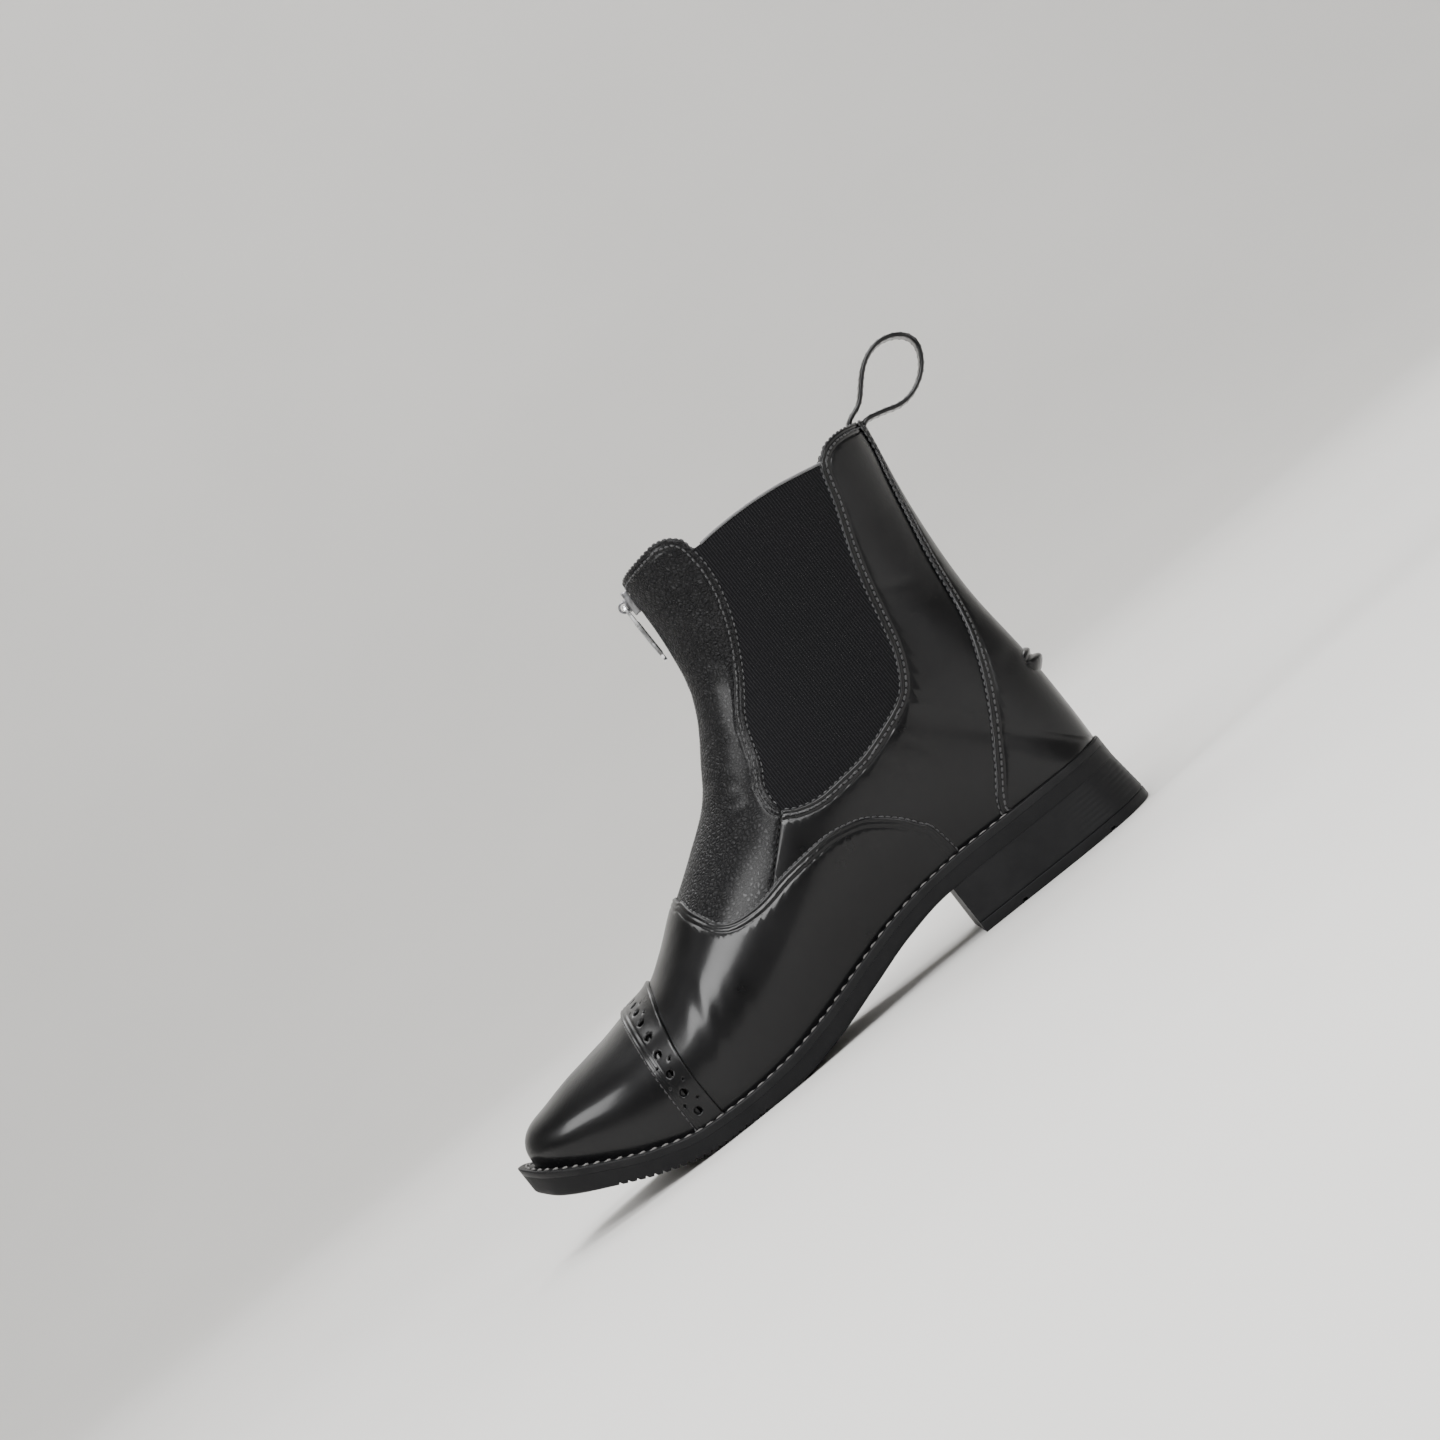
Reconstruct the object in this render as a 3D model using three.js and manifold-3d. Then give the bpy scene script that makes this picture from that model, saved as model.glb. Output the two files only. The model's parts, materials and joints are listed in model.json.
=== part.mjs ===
// Riding boot: a left ankle boot with a front zip, elastic side gores and a stacked heel.
// Millimetres. +Z is up, the toe points to -X and the outer side faces -Y.
// The origin lies on the floor under the middle of the heel.
import * as THREE from 'three';
import { mergeVertices } from 'three/addons/utils/BufferGeometryUtils.js';
import Module from 'manifold-3d';

const wasm = await Module();
wasm.setup();

// Overall sizes
const soleLength = 271.5;
const ballWidth = 96;
const seatHeight = 29.1;
const toeSpring = 28;
const shaftHeight = 146.4;
const toeSwing = 4;
const gap = 0.3;

// Upper
const wall = 2.2;
const vampStep = 1.1;
const bandThickness = 1.4;
const counterThickness = 1.0;
const goreThickness = 1.5;
const goreRecess = 0.4;
const hollowDrop = 12;
const insoleThickness = 2.6;
const insoleClearance = 1.2;

// Sole
const weltThickness = 3.4;
const outsoleThickness = 5.6;
const weltLap = 6;
const weltRound = 0.8;
const toeMargin = 7;
const ballMargin = 5;
const heelMargin = 2.8;
const soleEdgeRound = 1.2;
const toothPitch = 3.1;
const toothDepth = 1.3;
const toothFrom = 0.662;
const toothTo = 0.895;

// Heel
const heelLength = 79;
const heelFlare = 1.6;
const liftThickness = 4.1;
const ribCount = 7;
const ribPitch = 1.9;
const ribDepth = 0.5;
const liftGrooveWidth = 2;
const liftGrooveDepth = 1.2;
const liftGrooves = [0.25, 0.77];

// Zip
const slotWidth = 9;
const chainThickness = 1.6;
const chainRecess = 0.5;
const sliderLength = 10;
const sliderWidth = 8.4;
const sliderThickness = 2.6;
const sliderBelowTab = 7.5;
const eyeRadius = 1.5;
const eyeWall = 0.9;
const eyeWidth = 2.4;
const pullLength = 25;
const pullWidth = 7;
const pullThickness = 1.4;

// Pull loop and spur rest
const loopWidth = 13;
const loopThickness = 2;
const spurReach = 4.4;
const spurWidth = 30;
const spurHeight = 10.5;
const spurLevel = 66;
const spurRadius = 25;

// The welt's top line: shares of the heel's rise and of the toe spring, and of the sole's depth.
const soleLine = [
  { at: 0.000, heel: 1.000, toe: 0.000, depth: 1.00 },
  { at: 0.232, heel: 1.000, toe: 0.000, depth: 1.00 },
  { at: 0.306, heel: 0.950, toe: 0.000, depth: 0.94 },
  { at: 0.379, heel: 0.796, toe: 0.000, depth: 1.02 },
  { at: 0.453, heel: 0.527, toe: 0.000, depth: 1.10 },
  { at: 0.527, heel: 0.239, toe: 0.000, depth: 1.10 },
  { at: 0.600, heel: 0.055, toe: 0.000, depth: 1.08 },
  { at: 0.674, heel: 0.000, toe: 0.000, depth: 1.08 },
  { at: 0.748, heel: 0.000, toe: 0.029, depth: 1.08 },
  { at: 0.821, heel: 0.000, toe: 0.207, depth: 1.14 },
  { at: 0.895, heel: 0.000, toe: 0.510, depth: 1.26 },
  { at: 0.961, heel: 0.000, toe: 0.832, depth: 1.45 },
  { at: 1.000, heel: 0.000, toe: 1.040, depth: 1.45 },
];

// Sections of the last from the toe to the collar, each from its ridge point to its base point,
// as shares of the sole's length (at) and of the shaft's height above the welt line (up).
const profile = [
  { ridgeAt: 0.967, ridgeUp: 0.000, baseAt: 0.967, baseUp: 0.000 },
  { ridgeAt: 0.962, ridgeUp: 0.058, baseAt: 0.961, baseUp: 0.000 },
  { ridgeAt: 0.944, ridgeUp: 0.108, baseAt: 0.941, baseUp: 0.000 },
  { ridgeAt: 0.909, ridgeUp: 0.157, baseAt: 0.906, baseUp: 0.000 },
  { ridgeAt: 0.853, ridgeUp: 0.227, baseAt: 0.855, baseUp: 0.000 },
  { ridgeAt: 0.796, ridgeUp: 0.280, baseAt: 0.801, baseUp: 0.000 },
  { ridgeAt: 0.750, ridgeUp: 0.317, baseAt: 0.761, baseUp: 0.000 },
  { ridgeAt: 0.699, ridgeUp: 0.339, baseAt: 0.715, baseUp: 0.000 },
  { ridgeAt: 0.654, ridgeUp: 0.390, baseAt: 0.663, baseUp: 0.000 },
  { ridgeAt: 0.603, ridgeUp: 0.457, baseAt: 0.600, baseUp: 0.000 },
  { ridgeAt: 0.542, ridgeUp: 0.517, baseAt: 0.523, baseUp: 0.000 },
  { ridgeAt: 0.485, ridgeUp: 0.571, baseAt: 0.435, baseUp: 0.000 },
  { ridgeAt: 0.451, ridgeUp: 0.637, baseAt: 0.343, baseUp: 0.000 },
  { ridgeAt: 0.422, ridgeUp: 0.699, baseAt: 0.247, baseUp: 0.000 },
  { ridgeAt: 0.405, ridgeUp: 0.753, baseAt: 0.158, baseUp: 0.000 },
  { ridgeAt: 0.400, ridgeUp: 0.780, baseAt: 0.100, baseUp: 0.000 },
  { ridgeAt: 0.396, ridgeUp: 0.807, baseAt: 0.056, baseUp: 0.000 },
  { ridgeAt: 0.392, ridgeUp: 0.853, baseAt: 0.025, baseUp: 0.000 },
  { ridgeAt: 0.389, ridgeUp: 0.892, baseAt: 0.015, baseUp: 0.000 },
  { ridgeAt: 0.387, ridgeUp: 0.936, baseAt: 0.014, baseUp: 0.252 },
  { ridgeAt: 0.386, ridgeUp: 0.972, baseAt: 0.022, baseUp: 0.498 },
  { ridgeAt: 0.385, ridgeUp: 1.012, baseAt: 0.013, baseUp: 0.737 },
  { ridgeAt: 0.384, ridgeUp: 1.063, baseAt: -0.007, baseUp: 0.962 },
  { ridgeAt: 0.383, ridgeUp: 1.142, baseAt: -0.020, baseUp: 1.113 },
];

// The same sections' half widths as shares of the ball width, at the seat and at the widest place,
// how far down that place lies, and how square the section is above it and at the heel's back.
const girth = [
  { seatOut: 0.000, seatIn: 0.000, out: 0.000, in: 0.000, widest: 0.60, round: 2.50, heel: 2.50 },
  { seatOut: 0.083, seatIn: 0.083, out: 0.088, in: 0.088, widest: 0.60, round: 2.50, heel: 2.50 },
  { seatOut: 0.182, seatIn: 0.182, out: 0.190, in: 0.190, widest: 0.62, round: 2.50, heel: 2.50 },
  { seatOut: 0.271, seatIn: 0.271, out: 0.281, in: 0.281, widest: 0.64, round: 2.50, heel: 2.50 },
  { seatOut: 0.350, seatIn: 0.346, out: 0.364, in: 0.359, widest: 0.66, round: 2.50, heel: 2.50 },
  { seatOut: 0.410, seatIn: 0.387, out: 0.426, in: 0.403, widest: 0.68, round: 2.50, heel: 2.50 },
  { seatOut: 0.437, seatIn: 0.401, out: 0.454, in: 0.420, widest: 0.68, round: 2.40, heel: 2.50 },
  { seatOut: 0.454, seatIn: 0.407, out: 0.472, in: 0.430, widest: 0.68, round: 2.30, heel: 2.50 },
  { seatOut: 0.448, seatIn: 0.397, out: 0.470, in: 0.424, widest: 0.68, round: 2.20, heel: 2.50 },
  { seatOut: 0.417, seatIn: 0.354, out: 0.445, in: 0.393, widest: 0.67, round: 2.10, heel: 2.50 },
  { seatOut: 0.359, seatIn: 0.281, out: 0.408, in: 0.356, widest: 0.65, round: 2.00, heel: 2.50 },
  { seatOut: 0.312, seatIn: 0.229, out: 0.377, in: 0.340, widest: 0.61, round: 1.95, heel: 2.50 },
  { seatOut: 0.292, seatIn: 0.234, out: 0.360, in: 0.338, widest: 0.57, round: 1.95, heel: 2.50 },
  { seatOut: 0.292, seatIn: 0.266, out: 0.354, in: 0.338, widest: 0.53, round: 2.00, heel: 2.50 },
  { seatOut: 0.302, seatIn: 0.297, out: 0.352, in: 0.338, widest: 0.50, round: 2.00, heel: 2.50 },
  { seatOut: 0.288, seatIn: 0.285, out: 0.351, in: 0.339, widest: 0.48, round: 2.00, heel: 2.50 },
  { seatOut: 0.240, seatIn: 0.239, out: 0.350, in: 0.340, widest: 0.46, round: 2.00, heel: 2.50 },
  { seatOut: 0.127, seatIn: 0.127, out: 0.351, in: 0.342, widest: 0.45, round: 2.00, heel: 2.50 },
  { seatOut: 0.000, seatIn: 0.000, out: 0.352, in: 0.345, widest: 0.45, round: 2.00, heel: 2.50 },
  { seatOut: 0.000, seatIn: 0.000, out: 0.357, in: 0.350, widest: 0.46, round: 2.05, heel: 2.45 },
  { seatOut: 0.000, seatIn: 0.000, out: 0.366, in: 0.361, widest: 0.48, round: 2.10, heel: 2.30 },
  { seatOut: 0.000, seatIn: 0.000, out: 0.382, in: 0.377, widest: 0.50, round: 2.10, heel: 2.15 },
  { seatOut: 0.000, seatIn: 0.000, out: 0.400, in: 0.396, widest: 0.50, round: 2.10, heel: 2.10 },
  { seatOut: 0.000, seatIn: 0.000, out: 0.412, in: 0.407, widest: 0.50, round: 2.10, heel: 2.10 },
];
const last = profile.map((row, i) => ({ ...row, ...girth[i] }));
const backSeam = last.findIndex((row) => row.baseUp > 0) - 1;
const topSection = last.length - 1;

// Seam and edge lines in the side view, in the same shares.
const collarLine = [
  { at: 0.384, up: 1.076 },
  { at: 0.369, up: 1.080 },
  { at: 0.332, up: 1.077 },
  { at: 0.316, up: 1.074 },
  { at: 0.299, up: 1.061 },
  { at: 0.290, up: 1.045 },
  { at: 0.283, up: 1.025 },
  { at: 0.279, up: 0.998 },
  { at: 0.242, up: 0.997 },
  { at: 0.193, up: 0.996 },
  { at: 0.144, up: 0.988 },
  { at: 0.103, up: 0.975 },
  { at: 0.074, up: 0.966 },
  { at: 0.062, up: 0.983 },
  { at: 0.050, up: 0.995 },
  { at: 0.025, up: 1.000 },
  { at: -0.011, up: 0.990 },
];
const goreLine = [
  { at: 0.280, up: 1.000 },
  { at: 0.279, up: 0.956 },
  { at: 0.283, up: 0.888 },
  { at: 0.295, up: 0.814 },
  { at: 0.312, up: 0.749 },
  { at: 0.336, up: 0.679 },
  { at: 0.365, up: 0.615 },
  { at: 0.379, up: 0.556 },
  { at: 0.388, up: 0.506 },
  { at: 0.403, up: 0.466 },
  { at: 0.406, up: 0.425 },
  { at: 0.399, up: 0.387 },
  { at: 0.384, up: 0.365 },
  { at: 0.355, up: 0.342 },
  { at: 0.316, up: 0.334 },
  { at: 0.273, up: 0.337 },
  { at: 0.226, up: 0.361 },
  { at: 0.193, up: 0.387 },
  { at: 0.173, up: 0.421 },
  { at: 0.154, up: 0.490 },
  { at: 0.142, up: 0.573 },
  { at: 0.130, up: 0.665 },
  { at: 0.115, up: 0.755 },
  { at: 0.093, up: 0.861 },
  { at: 0.077, up: 0.953 },
  { at: 0.073, up: 1.000 },
];
const vampLine = [
  { at: 0.595, up: 0.620 },
  { at: 0.595, up: 0.479 },
  { at: 0.587, up: 0.458 },
  { at: 0.585, up: 0.432 },
  { at: 0.578, up: 0.403 },
  { at: 0.564, up: 0.355 },
  { at: 0.542, up: 0.326 },
  { at: 0.503, up: 0.305 },
  { at: 0.457, up: 0.295 },
  { at: 0.406, up: 0.276 },
  { at: 0.372, up: 0.261 },
  { at: 0.335, up: 0.233 },
  { at: 0.316, up: 0.210 },
  { at: 0.298, up: 0.180 },
  { at: 0.284, up: 0.152 },
  { at: 0.270, up: 0.114 },
  { at: 0.259, up: 0.076 },
  { at: 0.247, up: -0.100 },
];
const counterLine = [
  { at: -0.005, up: 1.100 },
  { at: -0.005, up: 0.945 },
  { at: 0.009, up: 0.831 },
  { at: 0.019, up: 0.748 },
  { at: 0.034, up: 0.619 },
  { at: 0.044, up: 0.505 },
  { at: 0.050, up: 0.452 },
  { at: 0.060, up: 0.391 },
  { at: 0.083, up: 0.292 },
  { at: 0.110, up: 0.204 },
  { at: 0.144, up: 0.109 },
  { at: 0.175, up: 0.020 },
  { at: 0.180, up: -0.100 },
];
const bandRear = [
  { at: 0.690, up: 0.480 },
  { at: 0.694, up: 0.362 },
  { at: 0.702, up: 0.294 },
  { at: 0.709, up: 0.225 },
  { at: 0.714, up: 0.152 },
  { at: 0.715, up: 0.088 },
  { at: 0.712, up: -0.100 },
];
const bandFront = [
  { at: 0.757, up: -0.100 },
  { at: 0.757, up: 0.099 },
  { at: 0.755, up: 0.195 },
  { at: 0.751, up: 0.292 },
  { at: 0.745, up: 0.480 },
];
// The spur rest's profile: shares of its reach out from the counter and of its height.
const spurProfile = [
  { out: -3.00, up: 0.50 },
  { out: 0.00, up: 0.50 },
  { out: 1.00, up: -0.05 },
  { out: 1.00, up: -0.20 },
  { out: 0.00, up: -0.50 },
  { out: -3.00, up: -0.50 },
];

// The pull loop's route over the collar's back, from inside the collar to the outside of the counter.
const loopLine = [
  { at: 0.0220, up: 0.860 },
  { at: 0.0180, up: 0.910 },
  { at: 0.0140, up: 0.960 },
  { at: 0.0095, up: 0.998 },
  { at: -0.0030, up: 1.017 },
  { at: -0.0200, up: 1.020 },
  { at: -0.0390, up: 1.057 },
  { at: -0.0545, up: 1.088 },
  { at: -0.0740, up: 1.112 },
  { at: -0.0970, up: 1.121 },
  { at: -0.1170, up: 1.111 },
  { at: -0.1330, up: 1.089 },
  { at: -0.1380, up: 1.060 },
  { at: -0.1310, up: 1.026 },
  { at: -0.1190, up: 0.996 },
  { at: -0.1000, up: 0.972 },
  { at: -0.0810, up: 0.961 },
  { at: -0.0620, up: 0.961 },
  { at: -0.0430, up: 0.977 },
  { at: -0.0300, up: 0.978 },
  { at: -0.0225, up: 0.950 },
  { at: -0.0180, up: 0.915 },
  { at: -0.0155, up: 0.880 },
];

// Curves through tables

function hermite(a, b, slopeA, slopeB, f) {
  const g = f * f;
  const h = g * f;
  return a * (2 * h - 3 * g + 1) + slopeA * (h - 2 * g + f) + b * (3 * g - 2 * h) + slopeB * (h - g);
}

function lineValue(table, column, at) {
  const end = table.length - 1;
  if (at <= table[0].at) return table[0][column];
  if (at >= table[end].at) return table[end][column];
  const i = table.findIndex((row) => row.at > at) - 1;
  const slope = (k) => {
    if (k <= 0 || k >= end) return 0;
    const before = (table[k][column] - table[k - 1][column]) / (table[k].at - table[k - 1].at);
    const after = (table[k + 1][column] - table[k][column]) / (table[k + 1].at - table[k].at);
    return before * after > 0 ? (2 * before * after) / (before + after) : 0;
  };
  const step = table[i + 1].at - table[i].at;
  const f = (at - table[i].at) / step;
  return hermite(table[i][column], table[i + 1][column], slope(i) * step, slope(i + 1) * step, f);
}

function section(t) {
  const i = Math.min(Math.max(Math.floor(t), 0), topSection - 1);
  const row = (k) => last[Math.min(Math.max(k, 0), topSection)];
  const mix = {};
  for (const column of Object.keys(last[0])) {
    const [a, b, c, d] = [row(i - 1), row(i), row(i + 1), row(i + 2)].map((r) => r[column]);
    mix[column] = hermite(b, c, (c - a) / 2, (d - b) / 2, t - i);
  }
  if (t <= backSeam) mix.baseUp = 0;
  if (t >= backSeam) {
    mix.seatOut = 0;
    mix.seatIn = 0;
  }
  return mix;
}

// Places in the side view and in the plan

const heelBack = heelLength / 2;
const xAt = (at) => heelBack - at * soleLength;
const atX = (x) => (heelBack - x) / soleLength;

function weltTop(at) {
  const ball = weltThickness + outsoleThickness;
  const heel = (seatHeight - ball) * lineValue(soleLine, 'heel', at);
  return ball + heel + toeSpring * lineValue(soleLine, 'toe', at);
}

function soleBottom(at) {
  const depth = weltThickness + outsoleThickness * lineValue(soleLine, 'depth', at);
  return Math.max(0, weltTop(at) - depth);
}

const heightAt = (at, up) => weltTop(at) + up * shaftHeight;
const sidePoint = ({ at, up }) => new THREE.Vector2(xAt(at), heightAt(at, up));
const swing = (at) => toeSwing * THREE.MathUtils.smoothstep(at, 0.4, 1);

function seat(t, side) {
  const { baseAt, seatOut, seatIn } = section(t);
  const half = (side < 0 ? seatOut : seatIn) * ballWidth;
  return new THREE.Vector2(xAt(baseAt), swing(baseAt) + side * half);
}

function seatEdge(t, side, grow) {
  const point = seat(t, side);
  if (t <= 0) return point.add(new THREE.Vector2(-grow, 0));
  if (t >= backSeam) return point.add(new THREE.Vector2(grow, 0));
  const small = 0.05;
  const along = seat(Math.min(t + small, backSeam), side).sub(seat(Math.max(t - small, 0), side)).normalize();
  return point.add(new THREE.Vector2(along.y, -along.x).multiplyScalar(-side * grow));
}

function margin(at) {
  const toBall = THREE.MathUtils.smoothstep(at, 0.2, 0.62);
  const toToe = THREE.MathUtils.smoothstep(at, 0.72, 1);
  return heelMargin + (ballMargin - heelMargin) * toBall + (toeMargin - ballMargin) * toToe;
}

// The last's surface. c runs from the ridge, 0, down a side to the base, 1.

function skin(t, c, side) {
  const row = section(t);
  const ridge = sidePoint({ at: row.ridgeAt, up: row.ridgeUp });
  const base = sidePoint({ at: row.baseAt, up: row.baseUp });
  const wide = (side < 0 ? row.out : row.in) * ballWidth;
  const foot = (side < 0 ? row.seatOut : row.seatIn) * ballWidth;
  let down;
  let half;
  if (c <= 0.5) {
    const turn = Math.cos(Math.PI * c);
    down = row.widest * (1 - turn);
    half = wide * (1 - turn ** row.round) ** (1 / row.round);
  } else {
    const turn = Math.PI * (c - 0.5);
    const hollow = 1 + (row.heel - 1) * (wide > 0 ? 1 - foot / wide : 0) ** 2;
    down = row.widest + (1 - row.widest) * Math.sin(turn);
    half = foot + (wide - foot) * Math.max(Math.cos(turn), 0) ** (2 / hollow);
  }
  const place = ridge.lerp(base, down);
  return new THREE.Vector3(place.x, swing(atX(place.x)) + side * half, place.y);
}

function skinPoint(t, c, side, offset) {
  const point = skin(t, c, side);
  if (t <= 0) return new THREE.Vector3(point.x - offset, point.y, weltTop(atX(point.x - offset)));
  if (c >= 1 && t <= backSeam) {
    const edge = seatEdge(t, side, offset);
    return new THREE.Vector3(edge.x, edge.y, weltTop(atX(edge.x)));
  }
  const small = 0.02;
  const along = skin(Math.min(t + small, topSection), c, side).sub(skin(t - small, c, side));
  const down = skin(t, Math.min(c + small, 1), side).sub(skin(t, Math.max(c - small, 0), side));
  const normal = down.cross(along).multiplyScalar(-side);
  if (c <= 0 || c >= 1) normal.y = 0;
  point.add(normal.normalize().multiplyScalar(offset));
  point.z = Math.max(point.z, weltTop(atX(point.x)));
  return point;
}

// Solids

function meshFrom(points, triangles) {
  const geometry = new THREE.BufferGeometry();
  const flat = points.flatMap((p) => [p.x, p.y, p.z]);
  geometry.setAttribute('position', new THREE.Float32BufferAttribute(flat, 3));
  geometry.setIndex(triangles.flat());
  return geometry;
}

function solid(geometry) {
  const bare = geometry.clone();
  bare.deleteAttribute('normal');
  bare.deleteAttribute('uv');
  const merged = mergeVertices(bare, 1e-3);
  const index = Array.from(merged.index.array);
  const kept = [];
  for (let i = 0; i < index.length; i += 3) {
    const [a, b, c] = index.slice(i, i + 3);
    if (a !== b && b !== c && c !== a) kept.push(a, b, c);
  }
  return new wasm.Manifold(new wasm.Mesh({
    numProp: 3,
    vertProperties: new Float32Array(merged.attributes.position.array),
    triVerts: new Uint32Array(kept),
  }));
}

function geometryOf(manifold) {
  const mesh = manifold.getMesh();
  const geometry = new THREE.BufferGeometry();
  geometry.setAttribute('position', new THREE.Float32BufferAttribute(mesh.vertProperties, 3));
  geometry.setIndex(Array.from(mesh.triVerts));
  geometry.computeVertexNormals();
  return geometry;
}

const rowsPerSection = 2;
const columnsAbove = 4;
const columnsBelow = 6;
const columnsPerSide = columnsAbove + columnsBelow;

function columnShare(column) {
  if (column <= columnsAbove) return (0.5 * column) / columnsAbove;
  return 0.5 + (0.5 * (column - columnsAbove)) / columnsBelow;
}

// The last as a closed solid, grown by offset, its underside lowered by drop.
function lastSolid(offset, drop = 0) {
  const points = [];
  const triangles = [];
  const rows = topSection * rowsPerSection;
  const columns = 2 * columnsPerSide;
  const quad = (a, b, c, d) => triangles.push([a, c, b], [a, d, c]);
  for (let i = 0; i <= rows; i += 1) {
    for (let j = 0; j <= columns; j += 1) {
      const side = j < columnsPerSide ? -1 : 1;
      points.push(skinPoint(i / rowsPerSection, columnShare(Math.abs(j - columnsPerSide)), side, offset));
    }
  }
  const id = (i, j) => i * (columns + 1) + j;
  for (let i = 0; i < rows; i += 1) {
    for (let j = 0; j < columns; j += 1) quad(id(i, j), id(i, j + 1), id(i + 1, j + 1), id(i + 1, j));
  }
  const lowered = (i, j) => {
    const point = points[id(i, j)].clone();
    point.z -= drop;
    points.push(point);
    return points.length - 1;
  };
  const seatRows = backSeam * rowsPerSection;
  const outer = [];
  const inner = [];
  for (let i = 0; i <= seatRows; i += 1) {
    outer.push(lowered(i, 0));
    inner.push(lowered(i, columns));
  }
  for (let i = 0; i < seatRows; i += 1) {
    quad(outer[i], id(i, 0), id(i + 1, 0), outer[i + 1]);
    quad(id(i, columns), inner[i], inner[i + 1], id(i + 1, columns));
    quad(inner[i], outer[i], outer[i + 1], inner[i + 1]);
  }
  const middle = points.length;
  const front = points[id(rows, columnsPerSide)];
  const back = points[id(rows, 0)];
  points.push(front.clone().lerp(back, 0.5));
  for (let j = 0; j < columns; j += 1) triangles.push([id(rows, j + 1), id(rows, j), middle]);
  return solid(meshFrom(points, triangles));
}

// A side-view outline made a solid across the boot.
function prism(outline, yLow, yHigh) {
  const shape = new THREE.Shape(outline);
  const geometry = new THREE.ExtrudeGeometry(shape, { depth: yHigh - yLow, bevelEnabled: false });
  geometry.rotateX(Math.PI / 2);
  geometry.translate(0, yHigh, 0);
  return solid(geometry);
}

const reach = soleLength;
const bothSides = (outline) => prism(outline, -reach, reach);
const corner = (x, z) => new THREE.Vector2(x, z);

function inward(outline, amount) {
  return outline.map((point, i) => {
    const before = outline[(i + outline.length - 1) % outline.length];
    const after = outline[(i + 1) % outline.length];
    const along = after.clone().sub(before).normalize();
    return corner(point.x - along.y * amount, point.y + along.x * amount);
  });
}

// A ring of plan points at one distance from the seat, and plates built from such rings.
function ring(tFrom, grow, heightOf) {
  const points = [];
  const steps = (backSeam - tFrom) * rowsPerSection;
  const place = (i, side) => {
    const t = backSeam - i / rowsPerSection;
    const out = typeof grow === 'function' ? grow(section(t).baseAt) : grow;
    const edge = seatEdge(Math.max(t, tFrom), side, out);
    return new THREE.Vector3(edge.x, edge.y, heightOf(atX(edge.x)));
  };
  for (let i = 0; i <= Math.ceil(steps); i += 1) points.push([place(i, -1), place(i, 1)]);
  return points;
}

function plate(rings, closed = false) {
  const points = [];
  const triangles = [];
  const quad = (a, b, c, d) => triangles.push([a, b, c], [a, c, d]);
  const count = rings[0].length;
  const loop = 2 * count;
  for (const pairs of rings) {
    points.push(...pairs.map((pair) => pair[0]), ...pairs.map((pair) => pair[1]).reverse());
  }
  const id = (k, j) => (k % rings.length) * loop + (j % loop);
  for (let k = 0; k < rings.length - (closed ? 0 : 1); k += 1) {
    for (let j = 0; j < loop; j += 1) quad(id(k, j), id(k + 1, j), id(k + 1, j + 1), id(k, j + 1));
  }
  if (!closed) {
    const top = rings.length - 1;
    for (let j = 0; j < count - 1; j += 1) {
      quad(id(0, j), id(0, j + 1), id(0, loop - 2 - j), id(0, loop - 1 - j));
      quad(id(top, j + 1), id(top, j), id(top, loop - 1 - j), id(top, loop - 2 - j));
    }
  }
  return solid(meshFrom(points, triangles));
}

function sectionAt(at) {
  let low = 0;
  let high = backSeam;
  for (let i = 0; i < 30; i += 1) {
    const middle = (low + high) / 2;
    if (section(middle).baseAt > at) low = middle;
    else high = middle;
  }
  return low;
}

// Sole

function outsole() {
  const ledge = (at) => weltTop(at) - weltThickness - gap;
  const rimmed = (less) => (at) => margin(at) - less;
  const body = plate([
    ring(0, rimmed(soleEdgeRound), soleBottom),
    ring(0, rimmed(0), (at) => soleBottom(at) + soleEdgeRound),
    ring(0, rimmed(0), ledge),
    ring(0, -weltLap - gap, ledge),
    ring(0, -weltLap - gap, (at) => weltTop(at) - gap),
  ]);
  const steps = Math.floor(((toothTo - toothFrom) * soleLength) / toothPitch);
  const notches = [];
  for (let i = 0; i < steps; i += 1) {
    const start = xAt(toothFrom) - i * toothPitch;
    const peak = start - toothPitch * 0.3;
    const end = start - toothPitch * 0.6;
    notches.push(corner(start, soleBottom(atX(start)) - gap));
    notches.push(corner(peak, soleBottom(atX(peak)) + toothDepth));
    notches.push(corner(end, soleBottom(atX(end)) - gap));
  }
  const first = xAt(toothFrom);
  const lastX = xAt(toothFrom) - steps * toothPitch;
  notches.push(corner(lastX, soleBottom(atX(lastX)) - gap));
  notches.push(corner(lastX, -toeSpring), corner(first, -toeSpring));
  return body.subtract(bothSides(notches));
}

function welt() {
  const top = (at) => weltTop(at) - gap;
  const under = (at) => weltTop(at) - weltThickness;
  return plate([
    ring(0, margin, under),
    ring(0, margin, (at) => top(at) - weltRound),
    ring(0, (at) => margin(at) - weltRound, top),
    ring(0, vampStep, top),
    ring(0, -weltLap, top),
    ring(0, -weltLap, under),
  ], true);
}

const breast = sectionAt(heelLength / soleLength);
const seatUnder = (at) => soleBottom(at) - gap;

function heelBlock() {
  const bottom = liftThickness + gap;
  const tall = seatUnder(0) - bottom;
  const rings = [];
  const ribFoot = (tall - ribCount * ribPitch) / 2;
  const flareAt = (share) => heelMargin + heelFlare * (1 - share);
  const level = (height, less) => {
    const share = height / tall;
    rings.push(ring(breast, flareAt(share) - less, (at) => bottom + share * (seatUnder(at) - bottom)));
  };
  level(0, 0);
  for (let i = 0; i < ribCount; i += 1) {
    level(ribFoot + (i + 0.4) * ribPitch, ribDepth);
    level(ribFoot + (i + 0.9) * ribPitch, 0);
  }
  level(tall, 0);
  return plate(rings);
}

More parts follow.
